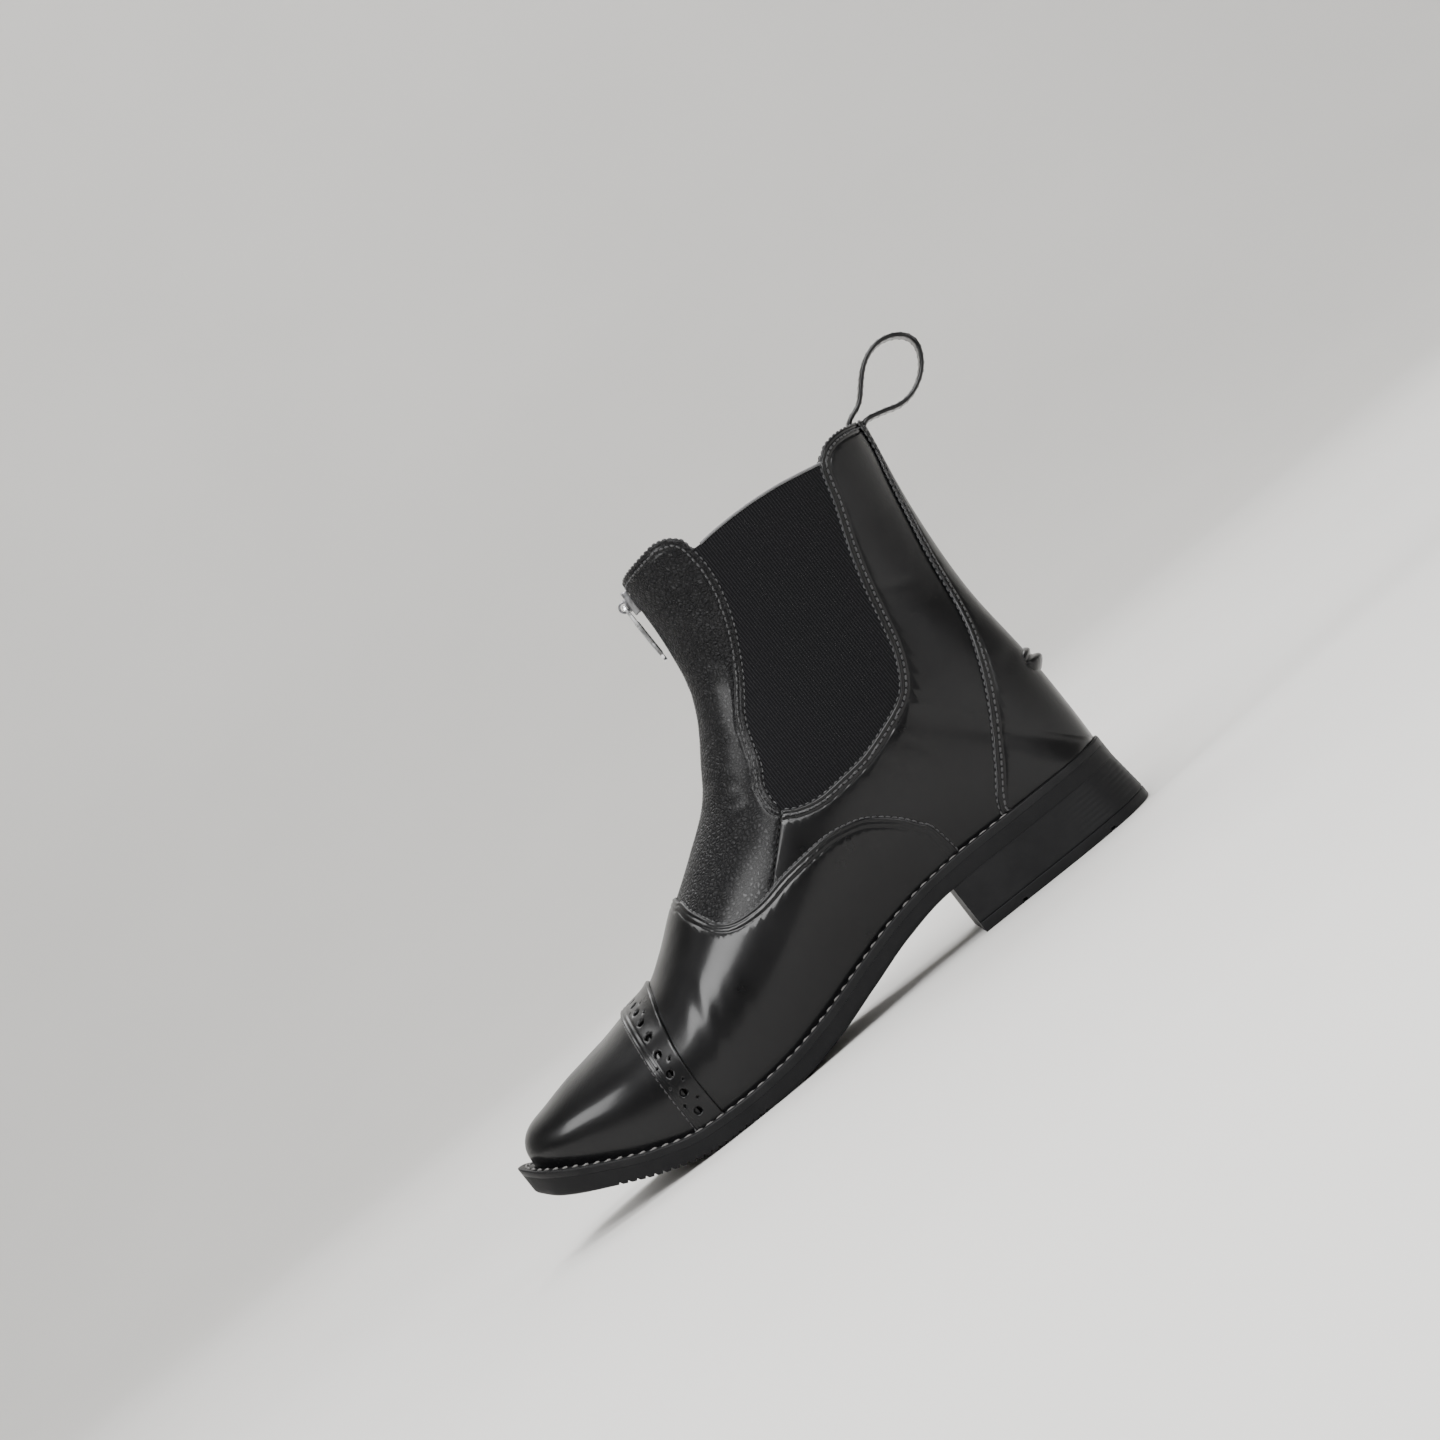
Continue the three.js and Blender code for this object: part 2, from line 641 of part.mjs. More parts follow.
function topLift() {
  const grow = heelMargin + heelFlare;
  const flat = (height) => () => height;
  let lift = plate([
    ring(breast, grow - liftGrooveDepth / 2, flat(0)),
    ring(breast, grow, flat(liftGrooveDepth / 2)),
    ring(breast, grow, flat(liftThickness)),
  ]);
  for (const share of liftGrooves) {
    const rear = heelBack - heelLength * share + liftGrooveWidth / 2;
    const front = rear - liftGrooveWidth;
    lift = lift.subtract(bothSides([
      corner(front, -gap),
      corner(rear, -gap),
      corner(rear, liftGrooveDepth),
      corner(front, liftGrooveDepth),
    ]));
  }
  return lift;
}

function insole() {
  const grow = -wall - insoleClearance;
  return plate([ring(0, grow, (at) => weltTop(at)), ring(0, grow, (at) => weltTop(at) + insoleThickness)]);
}

// Upper

const farAbove = seatHeight + 1.5 * shaftHeight;
const farBelow = -seatHeight;
const collarPoints = collarLine.map(sidePoint);
const aboveCollar = [
  corner(-reach, collarPoints[0].y),
  ...collarPoints,
  corner(reach, collarPoints[collarPoints.length - 1].y),
  corner(reach, farAbove),
  corner(-reach, farAbove),
];
const vampPoints = vampLine.map(sidePoint);
const vampArea = [...vampPoints, corner(-reach, farBelow), corner(-reach, vampPoints[0].y)];
const gorePoints = goreLine.map(sidePoint);
const goreArea = [
  ...gorePoints,
  corner(gorePoints[gorePoints.length - 1].x, farAbove),
  corner(gorePoints[0].x, farAbove),
];

function ridgeBand(tFrom, tTo, outside, inside) {
  const steps = Math.ceil((tTo - tFrom) * 2);
  const along = (offset) => Array.from({ length: steps + 1 }, (_, i) => {
    const point = skinPoint(tFrom + ((tTo - tFrom) * i) / steps, 0, 1, offset);
    return corner(point.x, point.z);
  });
  return [...along(outside), ...along(-inside).reverse()];
}

// The zip starts on the ridge just above the vamp, counted in sections.
const zipFoot = 9.15;
const chainFoot = zipFoot + 0.03;

function upper() {
  const raised = lastSolid(vampStep).intersect(bothSides(vampArea));
  const slot = prism(ridgeBand(zipFoot, topSection, 2 * wall, 3 * wall), -slotWidth / 2, slotWidth / 2);
  return lastSolid(0)
    .add(raised)
    .subtract(lastSolid(-wall, hollowDrop))
    .subtract(bothSides(aboveCollar))
    .subtract(bothSides(goreArea))
    .subtract(slot);
}

function gore(side) {
  const sheet = lastSolid(-goreRecess).subtract(lastSolid(-goreRecess - goreThickness, hollowDrop));
  const area = inward(goreArea, gap);
  const half = side < 0 ? prism(area, -reach, 0) : prism(area, 0, reach);
  return sheet.intersect(half).subtract(bothSides(aboveCollar));
}

function capBand() {
  const foot = vampStep + gap;
  const area = [...bandRear, ...bandFront].map(sidePoint);
  return lastSolid(foot + bandThickness).subtract(lastSolid(foot, hollowDrop)).intersect(bothSides(area));
}

const counterPoints = counterLine.map(sidePoint);

function heelCounter() {
  const area = [
    ...counterPoints,
    corner(reach, counterPoints[counterPoints.length - 1].y),
    corner(reach, counterPoints[0].y),
  ];
  return lastSolid(gap + counterThickness)
    .subtract(lastSolid(gap, hollowDrop))
    .intersect(bothSides(area))
    .subtract(bothSides(aboveCollar));
}

// A ledge round the heel's back, its top slanting down to a blunt nose and its foot cut under.
function spurRest() {
  const foot = counterThickness + 2 * gap;
  const back = xAt(last[backSeam].baseAt) + foot;
  const profile = spurProfile.map(({ out, up }) => corner(spurRadius + out * spurReach, up * spurHeight));
  const lathe = new THREE.LatheGeometry([...profile, profile[0]].reverse(), 40);
  lathe.rotateX(Math.PI / 2);
  lathe.translate(back - spurRadius, 0, spurLevel);
  const front = back - spurRadius;
  const slab = [corner(front, 0), corner(reach, 0), corner(reach, reach), corner(front, reach)];
  return solid(lathe)
    .intersect(prism(slab, -spurWidth / 2, spurWidth / 2))
    .subtract(lastSolid(foot, hollowDrop));
}

// Zip, on the ridge of the instep and shaft

function zipChain() {
  const band = ridgeBand(chainFoot, topSection, -chainRecess, chainRecess + chainThickness);
  const half = slotWidth / 2 - gap;
  return prism(band, -half, half).subtract(bothSides(aboveCollar.map((p) => corner(p.x, p.y - 2 * gap))));
}

// The slider's frame: its middle on the chain's face, turned to the ridge there.
const tabTop = collarPoints[0].y;
const sliderHeight = tabTop - sliderBelowTab;

function ridgeAtHeight(z) {
  let low = backSeam;
  let high = topSection;
  for (let i = 0; i < 30; i += 1) {
    const middle = (low + high) / 2;
    if (skinPoint(middle, 0, 1, -chainRecess).z < z) low = middle;
    else high = middle;
  }
  return low;
}

const sliderT = ridgeAtHeight(sliderHeight);
const sliderSpot = skinPoint(sliderT, 0, 1, -chainRecess);
const sliderAbove = skinPoint(sliderT + 0.3, 0, 1, -chainRecess);
const sliderLean = Math.atan2(sliderAbove.x - sliderSpot.x, sliderAbove.z - sliderSpot.z);
const eyeOut = gap + sliderThickness + eyeRadius;

function zipSlider() {
  const half = sliderWidth / 2;
  const face = new THREE.Shape();
  face.moveTo(-half * 0.62, -sliderLength / 2);
  face.lineTo(half * 0.62, -sliderLength / 2);
  face.quadraticCurveTo(half, 0, half, sliderLength / 2 - 1.5);
  face.quadraticCurveTo(half, sliderLength / 2, half - 1.5, sliderLength / 2);
  face.lineTo(-half + 1.5, sliderLength / 2);
  face.quadraticCurveTo(-half, sliderLength / 2, -half, sliderLength / 2 - 1.5);
  face.quadraticCurveTo(-half, 0, -half * 0.62, -sliderLength / 2);
  const depth = sliderThickness;
  const body = new THREE.ExtrudeGeometry(face, { depth, bevelEnabled: false, curveSegments: 4 });
  body.rotateX(Math.PI / 2);
  body.rotateZ(-Math.PI / 2);
  body.translate(-gap, 0, 0);
  const arch = new THREE.Shape();
  arch.absarc(0, 0, eyeRadius + eyeWall, 0, 2 * Math.PI);
  const hole = new THREE.Path();
  hole.absarc(0, 0, eyeRadius, 0, 2 * Math.PI);
  arch.holes.push(hole);
  const eye = new THREE.ExtrudeGeometry(arch, {
    depth: eyeWidth,
    bevelEnabled: false,
    curveSegments: 12,
  });
  eye.rotateX(Math.PI / 2);
  eye.translate(-eyeOut, eyeWidth / 2, 0);
  return solid(body).add(solid(eye));
}

function zipPull() {
  const half = pullWidth / 2;
  const bar = pullThickness / 2;
  const window = eyeWidth / 2 + gap;
  const face = new THREE.Shape();
  face.moveTo(-half + 0.6, bar);
  face.lineTo(half - 0.6, bar);
  face.lineTo(half, bar - 0.6);
  face.lineTo(half * 0.86, -pullLength * 0.35);
  face.lineTo(half, -pullLength + 1.5);
  face.quadraticCurveTo(half, -pullLength, half - 1.5, -pullLength);
  face.lineTo(-half + 1.5, -pullLength);
  face.quadraticCurveTo(-half, -pullLength, -half, -pullLength + 1.5);
  face.lineTo(-half * 0.86, -pullLength * 0.35);
  face.lineTo(-half, bar - 0.6);
  const hole = new THREE.Path();
  const clear = 2 * (eyeRadius + eyeWall);
  hole.moveTo(-window, -bar);
  hole.lineTo(-window, -clear);
  hole.lineTo(window, -clear);
  hole.lineTo(window, -bar);
  face.holes.push(hole);
  const depth = pullThickness;
  const geometry = new THREE.ExtrudeGeometry(face, { depth, bevelEnabled: false, curveSegments: 4 });
  geometry.rotateX(Math.PI / 2);
  geometry.rotateZ(-Math.PI / 2);
  geometry.translate(bar, 0, 0);
  return solid(geometry);
}

// Pull loop

function pullLoop() {
  const route = new THREE.SplineCurve(loopLine.map(sidePoint));
  const steps = 48;
  const left = [];
  const right = [];
  for (let i = 0; i <= steps; i += 1) {
    const point = route.getPoint(i / steps);
    const along = route.getTangent(i / steps);
    const across = corner(-along.y, along.x).multiplyScalar(loopThickness / 2);
    left.push(point.clone().add(across));
    right.push(point.clone().sub(across));
  }
  return prism([...left, ...right.reverse()], -loopWidth / 2, loopWidth / 2);
}

// The assembly

const finish = {
  leather: { color: 0x141517, roughness: 0.38, metalness: 0 },
  rubber: { color: 0x1b1c1e, roughness: 0.8, metalness: 0 },
  elastic: { color: 0x0e0f11, roughness: 0.95, metalness: 0 },
  lining: { color: 0x3a3835, roughness: 0.9, metalness: 0 },
  steel: { color: 0xb9bcc0, roughness: 0.28, metalness: 1 },
  darkSteel: { color: 0x4a4a4c, roughness: 0.35, metalness: 1 },
};

function part(name, manifold, material) {
  const mesh = new THREE.Mesh(geometryOf(manifold), new THREE.MeshStandardMaterial(finish[material]));
  mesh.name = name;
  return mesh;
}

const boot = new THREE.Group();
boot.add(part('outsole', outsole(), 'rubber'));
boot.add(part('welt', welt(), 'rubber'));
boot.add(part('heel_block', heelBlock(), 'rubber'));
boot.add(part('top_lift', topLift(), 'rubber'));
boot.add(part('insole', insole(), 'lining'));
boot.add(part('upper', upper(), 'leather'));
boot.add(part('cap_band', capBand(), 'leather'));
boot.add(part('heel_counter', heelCounter(), 'leather'));
boot.add(part('spur_rest', spurRest(), 'leather'));
boot.add(part('gore_outer', gore(-1), 'elastic'));
boot.add(part('gore_inner', gore(1), 'elastic'));
boot.add(part('zip_chain', zipChain(), 'darkSteel'));
boot.add(part('pull_loop', pullLoop(), 'leather'));

const slider = new THREE.Group();
slider.position.set(sliderSpot.x, 0, sliderSpot.z);
slider.rotation.y = sliderLean;
slider.add(part('zip_slider', zipSlider(), 'steel'));
boot.add(slider);

const pull = part('zip_pull', zipPull(), 'steel');
pull.position.set(
  sliderSpot.x - eyeOut * Math.cos(sliderLean),
  0,
  sliderSpot.z + eyeOut * Math.sin(sliderLean),
);
boot.add(pull);

export default boot;
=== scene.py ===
import json
import math
import bpy
import bmesh
import numpy as np
from mathutils import Matrix, Vector
from mathutils.bvhtree import BVHTree
from mathutils.kdtree import KDTree

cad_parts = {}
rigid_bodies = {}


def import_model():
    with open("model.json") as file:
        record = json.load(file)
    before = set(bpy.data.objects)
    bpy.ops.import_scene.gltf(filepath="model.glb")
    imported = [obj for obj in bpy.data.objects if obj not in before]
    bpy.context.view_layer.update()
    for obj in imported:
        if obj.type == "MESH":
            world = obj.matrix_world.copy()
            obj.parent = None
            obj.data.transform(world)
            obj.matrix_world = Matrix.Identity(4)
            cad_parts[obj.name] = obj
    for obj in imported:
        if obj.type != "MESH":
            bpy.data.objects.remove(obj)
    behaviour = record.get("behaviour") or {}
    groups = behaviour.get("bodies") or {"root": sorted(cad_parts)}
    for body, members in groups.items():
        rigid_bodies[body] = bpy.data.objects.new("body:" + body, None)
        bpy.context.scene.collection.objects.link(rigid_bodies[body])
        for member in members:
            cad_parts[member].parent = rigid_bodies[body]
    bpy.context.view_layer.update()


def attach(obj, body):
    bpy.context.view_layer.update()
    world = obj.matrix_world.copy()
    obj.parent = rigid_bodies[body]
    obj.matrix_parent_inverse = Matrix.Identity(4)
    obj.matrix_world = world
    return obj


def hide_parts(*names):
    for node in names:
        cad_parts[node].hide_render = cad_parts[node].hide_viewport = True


for thing in list(bpy.data.objects):
    bpy.data.objects.remove(thing)

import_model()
print("frame loaded")

mm = 0.001
neighbours = [np.array((i, j, k)) for i in (-1, 0, 1) for j in (-1, 0, 1) for k in (-1, 0, 1)]

# sizes of the last and sole in millimetres, as the solids have them
lastSizes = {
    "soleLength": 271.5, "ballWidth": 96, "seatHeight": 29.1, "toeSpring": 28,
    "shaftHeight": 146.4, "toeSwing": 4, "heelLength": 79,
    "weltThickness": 3.4, "outsoleThickness": 5.6,
    "heelMargin": 2.8, "ballMargin": 5, "toeMargin": 7,
}

# at, heel rise, toe spring, depth
soleLine = np.array([
    (0.000, 1.000, 0.000, 1.00), (0.232, 1.000, 0.000, 1.00), (0.306, 0.950, 0.000, 0.94),
    (0.379, 0.796, 0.000, 1.02), (0.453, 0.527, 0.000, 1.10), (0.527, 0.239, 0.000, 1.10),
    (0.600, 0.055, 0.000, 1.08), (0.674, 0.000, 0.000, 1.08), (0.748, 0.000, 0.029, 1.08),
    (0.821, 0.000, 0.207, 1.14), (0.895, 0.000, 0.510, 1.26), (0.961, 0.000, 0.832, 1.45),
    (1.000, 0.000, 1.040, 1.45)])

# sections of the last from toe to collar: ridge at and up, base at and up, half widths at the
# seat and at the widest place, how far down that is, roundness above and at the heel
lastSections = np.array([
    (0.967, 0.000, 0.967, 0.000, 0.000, 0.000, 0.000, 0.000, 0.60, 2.50, 2.50),
    (0.962, 0.058, 0.961, 0.000, 0.083, 0.083, 0.088, 0.088, 0.60, 2.50, 2.50),
    (0.944, 0.108, 0.941, 0.000, 0.182, 0.182, 0.190, 0.190, 0.62, 2.50, 2.50),
    (0.909, 0.157, 0.906, 0.000, 0.271, 0.271, 0.281, 0.281, 0.64, 2.50, 2.50),
    (0.853, 0.227, 0.855, 0.000, 0.350, 0.346, 0.364, 0.359, 0.66, 2.50, 2.50),
    (0.796, 0.280, 0.801, 0.000, 0.410, 0.387, 0.426, 0.403, 0.68, 2.50, 2.50),
    (0.750, 0.317, 0.761, 0.000, 0.437, 0.401, 0.454, 0.420, 0.68, 2.40, 2.50),
    (0.699, 0.339, 0.715, 0.000, 0.454, 0.407, 0.472, 0.430, 0.68, 2.30, 2.50),
    (0.654, 0.390, 0.663, 0.000, 0.448, 0.397, 0.470, 0.424, 0.68, 2.20, 2.50),
    (0.603, 0.457, 0.600, 0.000, 0.417, 0.354, 0.445, 0.393, 0.67, 2.10, 2.50),
    (0.542, 0.517, 0.523, 0.000, 0.359, 0.281, 0.408, 0.356, 0.65, 2.00, 2.50),
    (0.485, 0.571, 0.435, 0.000, 0.312, 0.229, 0.377, 0.340, 0.61, 1.95, 2.50),
    (0.451, 0.637, 0.343, 0.000, 0.292, 0.234, 0.360, 0.338, 0.57, 1.95, 2.50),
    (0.422, 0.699, 0.247, 0.000, 0.292, 0.266, 0.354, 0.338, 0.53, 2.00, 2.50),
    (0.405, 0.753, 0.158, 0.000, 0.302, 0.297, 0.352, 0.338, 0.50, 2.00, 2.50),
    (0.400, 0.780, 0.100, 0.000, 0.288, 0.285, 0.351, 0.339, 0.48, 2.00, 2.50),
    (0.396, 0.807, 0.056, 0.000, 0.240, 0.239, 0.350, 0.340, 0.46, 2.00, 2.50),
    (0.392, 0.853, 0.025, 0.000, 0.127, 0.127, 0.351, 0.342, 0.45, 2.00, 2.50),
    (0.389, 0.892, 0.015, 0.000, 0.000, 0.000, 0.352, 0.345, 0.45, 2.00, 2.50),
    (0.387, 0.936, 0.014, 0.252, 0.000, 0.000, 0.357, 0.350, 0.46, 2.05, 2.45),
    (0.386, 0.972, 0.022, 0.498, 0.000, 0.000, 0.366, 0.361, 0.48, 2.10, 2.30),
    (0.385, 1.012, 0.013, 0.737, 0.000, 0.000, 0.382, 0.377, 0.50, 2.10, 2.15),
    (0.384, 1.063, -0.007, 0.962, 0.000, 0.000, 0.400, 0.396, 0.50, 2.10, 2.10),
    (0.383, 1.142, -0.020, 1.113, 0.000, 0.000, 0.412, 0.407, 0.50, 2.10, 2.10)])
backSeam = 18
topSection = 23

# edges and seams in the side view: share of the sole's length from the heel, share of the shaft's height
collarLine = [(0.384, 1.076), (0.369, 1.080), (0.332, 1.077), (0.316, 1.074), (0.299, 1.061),
              (0.290, 1.045), (0.283, 1.025), (0.279, 0.998), (0.242, 0.997), (0.193, 0.996),
              (0.144, 0.988), (0.103, 0.975), (0.074, 0.966), (0.062, 0.983), (0.050, 0.995),
              (0.025, 1.000), (-0.011, 0.990)]
goreLine = [(0.280, 1.000), (0.279, 0.956), (0.283, 0.888), (0.295, 0.814), (0.312, 0.749),
            (0.336, 0.679), (0.365, 0.615), (0.379, 0.556), (0.388, 0.506), (0.403, 0.466),
            (0.406, 0.425), (0.399, 0.387), (0.384, 0.365), (0.355, 0.342), (0.316, 0.334),
            (0.273, 0.337), (0.226, 0.361), (0.193, 0.387), (0.173, 0.421), (0.154, 0.490),
            (0.142, 0.573), (0.130, 0.665), (0.115, 0.755), (0.093, 0.861), (0.077, 0.953),
            (0.073, 1.000)]
vampLine = [(0.595, 0.620), (0.595, 0.479), (0.587, 0.458), (0.585, 0.432), (0.578, 0.403),
            (0.564, 0.355), (0.542, 0.326), (0.503, 0.305), (0.457, 0.295), (0.406, 0.276),
            (0.372, 0.261), (0.335, 0.233), (0.316, 0.210), (0.298, 0.180), (0.284, 0.152),
            (0.270, 0.114), (0.259, 0.076), (0.247, -0.100)]
counterLine = [(-0.005, 1.100), (-0.005, 0.945), (0.009, 0.831), (0.019, 0.748), (0.034, 0.619),
               (0.044, 0.505), (0.050, 0.452), (0.060, 0.391), (0.083, 0.292), (0.110, 0.204),
               (0.144, 0.109), (0.175, 0.020), (0.180, -0.100)]
bandRear = [(0.690, 0.480), (0.694, 0.362), (0.702, 0.294), (0.709, 0.225), (0.714, 0.152),
            (0.715, 0.088), (0.712, -0.100)]
bandFront = [(0.757, -0.100), (0.757, 0.099), (0.755, 0.195), (0.751, 0.292), (0.745, 0.480)]
loopLine = [(0.0220, 0.860), (0.0180, 0.910), (0.0140, 0.960), (0.0095, 0.998), (-0.0030, 1.017),
            (-0.0200, 1.020), (-0.0390, 1.057), (-0.0545, 1.088), (-0.0740, 1.112),
            (-0.0970, 1.121), (-0.1170, 1.111), (-0.1330, 1.089), (-0.1380, 1.060),
            (-0.1310, 1.026), (-0.1190, 0.996), (-0.1000, 0.972), (-0.0810, 0.961),
            (-0.0620, 0.961), (-0.0430, 0.977), (-0.0300, 0.978), (-0.0225, 0.950),
            (-0.0180, 0.915), (-0.0155, 0.880)]

heelBack = lastSizes["heelLength"] / 2


def hermite(a, b, slopeA, slopeB, f):
    g = f * f
    h = g * f
    return a * (2 * h - 3 * g + 1) + slopeA * (h - 2 * g + f) + b * (3 * g - 2 * h) + slopeB * (h - g)


def soleValue(column, at):
    places, values = soleLine[:, 0], soleLine[:, column]
    at = np.clip(at, places[0], places[-1])
    i = np.clip(np.searchsorted(places, at, side="right") - 1, 0, len(places) - 2)
    rise = np.diff(values) / np.diff(places)
    slope = np.zeros(len(places))
    before, after = rise[:-1], rise[1:]
    both = before * after > 0
    slope[1:-1][both] = (2 * before * after)[both] / (before + after)[both]
    step = places[i + 1] - places[i]
    return hermite(values[i], values[i + 1], slope[i] * step, slope[i + 1] * step, (at - places[i]) / step)


def smoothStep(x, low, high):
    f = np.clip((x - low) / (high - low), 0, 1)
    return f * f * (3 - 2 * f)


def xAt(at):
    return heelBack - at * lastSizes["soleLength"]


def atX(x):
    return (heelBack - x) / lastSizes["soleLength"]


def weltTop(at):
    ball = lastSizes["weltThickness"] + lastSizes["outsoleThickness"]
    rise = (lastSizes["seatHeight"] - ball) * soleValue(1, at)
    return ball + rise + lastSizes["toeSpring"] * soleValue(2, at)


def soleBottom(at):
    depth = lastSizes["weltThickness"] + lastSizes["outsoleThickness"] * soleValue(3, at)
    return np.maximum(0, weltTop(at) - depth)


def swing(at):
    return lastSizes["toeSwing"] * smoothStep(at, 0.4, 1)


def margin(at):
    heel, ball, toe = lastSizes["heelMargin"], lastSizes["ballMargin"], lastSizes["toeMargin"]
    return heel + (ball - heel) * smoothStep(at, 0.2, 0.62) + (toe - ball) * smoothStep(at, 0.72, 1)


def sidePoint(at, up):
    at = np.asarray(at, float)
    return np.stack([xAt(at), weltTop(at) + np.asarray(up) * lastSizes["shaftHeight"]], -1)


def sections(t):
    i = np.clip(np.floor(t).astype(int), 0, topSection - 1)
    row = lambda k: lastSections[np.clip(k, 0, topSection)]
    a, b, c, d = row(i - 1), row(i), row(i + 1), row(i + 2)
    values = hermite(b, c, (c - a) / 2, (d - b) / 2, (t - i)[..., None])
    values[..., 3] = np.where(t <= backSeam, 0, values[..., 3])
    values[..., 4] = np.where(t >= backSeam, 0, values[..., 4])
    values[..., 5] = np.where(t >= backSeam, 0, values[..., 5])
    return values


def lastPoint(t, c, side):
    # a point of the last: t counts the sections, c runs from the ridge down one side to the base
    row = sections(t)
    ridge = sidePoint(row[..., 0], row[..., 1])
    base = sidePoint(row[..., 2], row[..., 3])
    wide = np.where(side < 0, row[..., 6], row[..., 7]) * lastSizes["ballWidth"]
    foot = np.where(side < 0, row[..., 4], row[..., 5]) * lastSizes["ballWidth"]
    widest, above, heel = row[..., 8], row[..., 9], row[..., 10]
    turn = np.cos(np.pi * np.minimum(c, 0.5))
    upperDown = widest * (1 - turn)
    upperHalf = wide * np.maximum(1 - np.abs(turn) ** above, 0) ** (1 / above)
    turn = np.pi * (np.maximum(c, 0.5) - 0.5)
    hollow = 1 + (heel - 1) * np.where(wide > 0, 1 - foot / np.maximum(wide, 1e-9), 0) ** 2
    lowerDown = widest + (1 - widest) * np.sin(turn)
    lowerHalf = foot + (wide - foot) * np.maximum(np.cos(turn), 0) ** (2 / hollow)
    down = np.where(c <= 0.5, upperDown, lowerDown)
    half = np.where(c <= 0.5, upperHalf, lowerHalf)
    place = ridge + (base - ridge) * down[..., None]
    return np.stack([place[..., 0], swing(atX(place[..., 0])) + side * half, place[..., 1]], -1)


def skin(t, c, side):
    # the last with the change of slope at the back seam evened out
    t, c, side = np.broadcast_arrays(np.asarray(t, float), np.asarray(c, float), np.asarray(side, float))
    point = lastPoint(t, c, side)
    share = smoothStep(1.1 - np.abs(t - backSeam), 0, 1) * smoothStep(1 - c, 0.02, 0.35)
    near = share > 0
    if near.any():
        mean = sum(lastPoint(t[near] + away, c[near], side[near]) for away in (-0.5, -0.25, 0.25, 0.5)) / 4
        point[near] += (mean - point[near]) * share[near][..., None]
    return point


def seatEdge(t, side, grow):
    def seat(t):
        row = sections(t)
        half = np.where(side < 0, row[..., 4], row[..., 5]) * lastSizes["ballWidth"]
        return np.stack([xAt(row[..., 2]), swing(row[..., 2]) + side * half], -1)
    small = 0.05
    along = seat(np.minimum(t + small, backSeam)) - seat(np.maximum(t - small, 0))
    along /= np.maximum(np.linalg.norm(along, axis=-1, keepdims=True), 1e-9)
    across = np.stack([along[..., 1], -along[..., 0]], -1) * -np.asarray(side)[..., None]
    across = np.where((t <= 0)[..., None], (-1, 0), across)
    across = np.where((t >= backSeam)[..., None], (1, 0), across)
    return seat(t) + across * np.asarray(grow)[..., None]


def skinAndNormal(t, c, side):
    small = 0.02
    point = skin(t, c, side)
    along = skin(np.minimum(t + small, topSection), c, side) - skin(t - small, c, side)
    down = skin(t, np.minimum(c + small, 1), side) - skin(t, np.maximum(c - small, 0), side)
    normal = np.cross(down, along) * -side[..., None]
    normal[..., 1] = np.where((c <= 0) | (c >= 1), 0, normal[..., 1])
    normal = np.where((t <= 0)[..., None], (-1, 0, 0), normal)
    normal /= np.maximum(np.linalg.norm(normal, axis=-1, keepdims=True), 1e-9)
    return point, normal


def lifted(t, s, offset, tuck=1.2):
    # points at a height over the last; the lowest row is tucked behind the welt
    side = np.where(s < 0, -1.0, 1.0)
    c = np.abs(s)
    offset = np.broadcast_to(offset, t.shape)
    point, normal = skinAndNormal(t, c, side)
    point = point + normal * offset[..., None]
    edge = seatEdge(t, side, offset)
    floor = weltTop(atX(edge[..., 0])) - tuck
    atSeat = (c >= 1) & (t <= backSeam)
    point = np.where(atSeat[..., None], np.concatenate([edge, floor[..., None]], -1), point)
    return point


def runOf(line):
    # length from the start to each point of a line
    return np.concatenate([[0], np.cumsum(np.linalg.norm(np.diff(line, axis=0), axis=1))])


def smoothLine(points, perStep=8):
    points = np.asarray(points, float)
    made = []
    for i in range(len(points) - 1):
        a, b = points[max(i - 1, 0)], points[i]
        c, d = points[i + 1], points[min(i + 2, len(points) - 1)]
        for k in range(perStep):
            made.append(hermite(b, c, (c - a) / 2, (d - b) / 2, k / perStep))
    made.append(points[-1])
    return np.array(made)


def sideLine(table, perStep=8):
    table = np.array(table)
    return smoothLine(sidePoint(table[:, 0], table[:, 1]), perStep)


def insideBy(points, outline):
    # distance inside a closed side-view outline, negative outside it
    a, b = outline, np.roll(outline, -1, 0)
    away = np.full(len(points), 1e9)
    crossings = np.zeros(len(points), int)
    for (ax, az), (bx, bz) in zip(a, b):
        dx, dz = bx - ax, bz - az
        f = (points[:, 0] - ax) * dx + (points[:, 1] - az) * dz
        f = np.clip(f / max(dx * dx + dz * dz, 1e-12), 0, 1)
        away = np.minimum(away, np.hypot(points[:, 0] - ax - f * dx, points[:, 1] - az - f * dz))
        straddles = (az > points[:, 1]) != (bz > points[:, 1])
        if straddles.any():
            cut = ax + (points[:, 1] - az) * dx / (dz if abs(dz) > 1e-12 else 1e-12)
            crossings += straddles & (points[:, 0] < cut)
    return np.where(crossings % 2 == 1, away, -away)


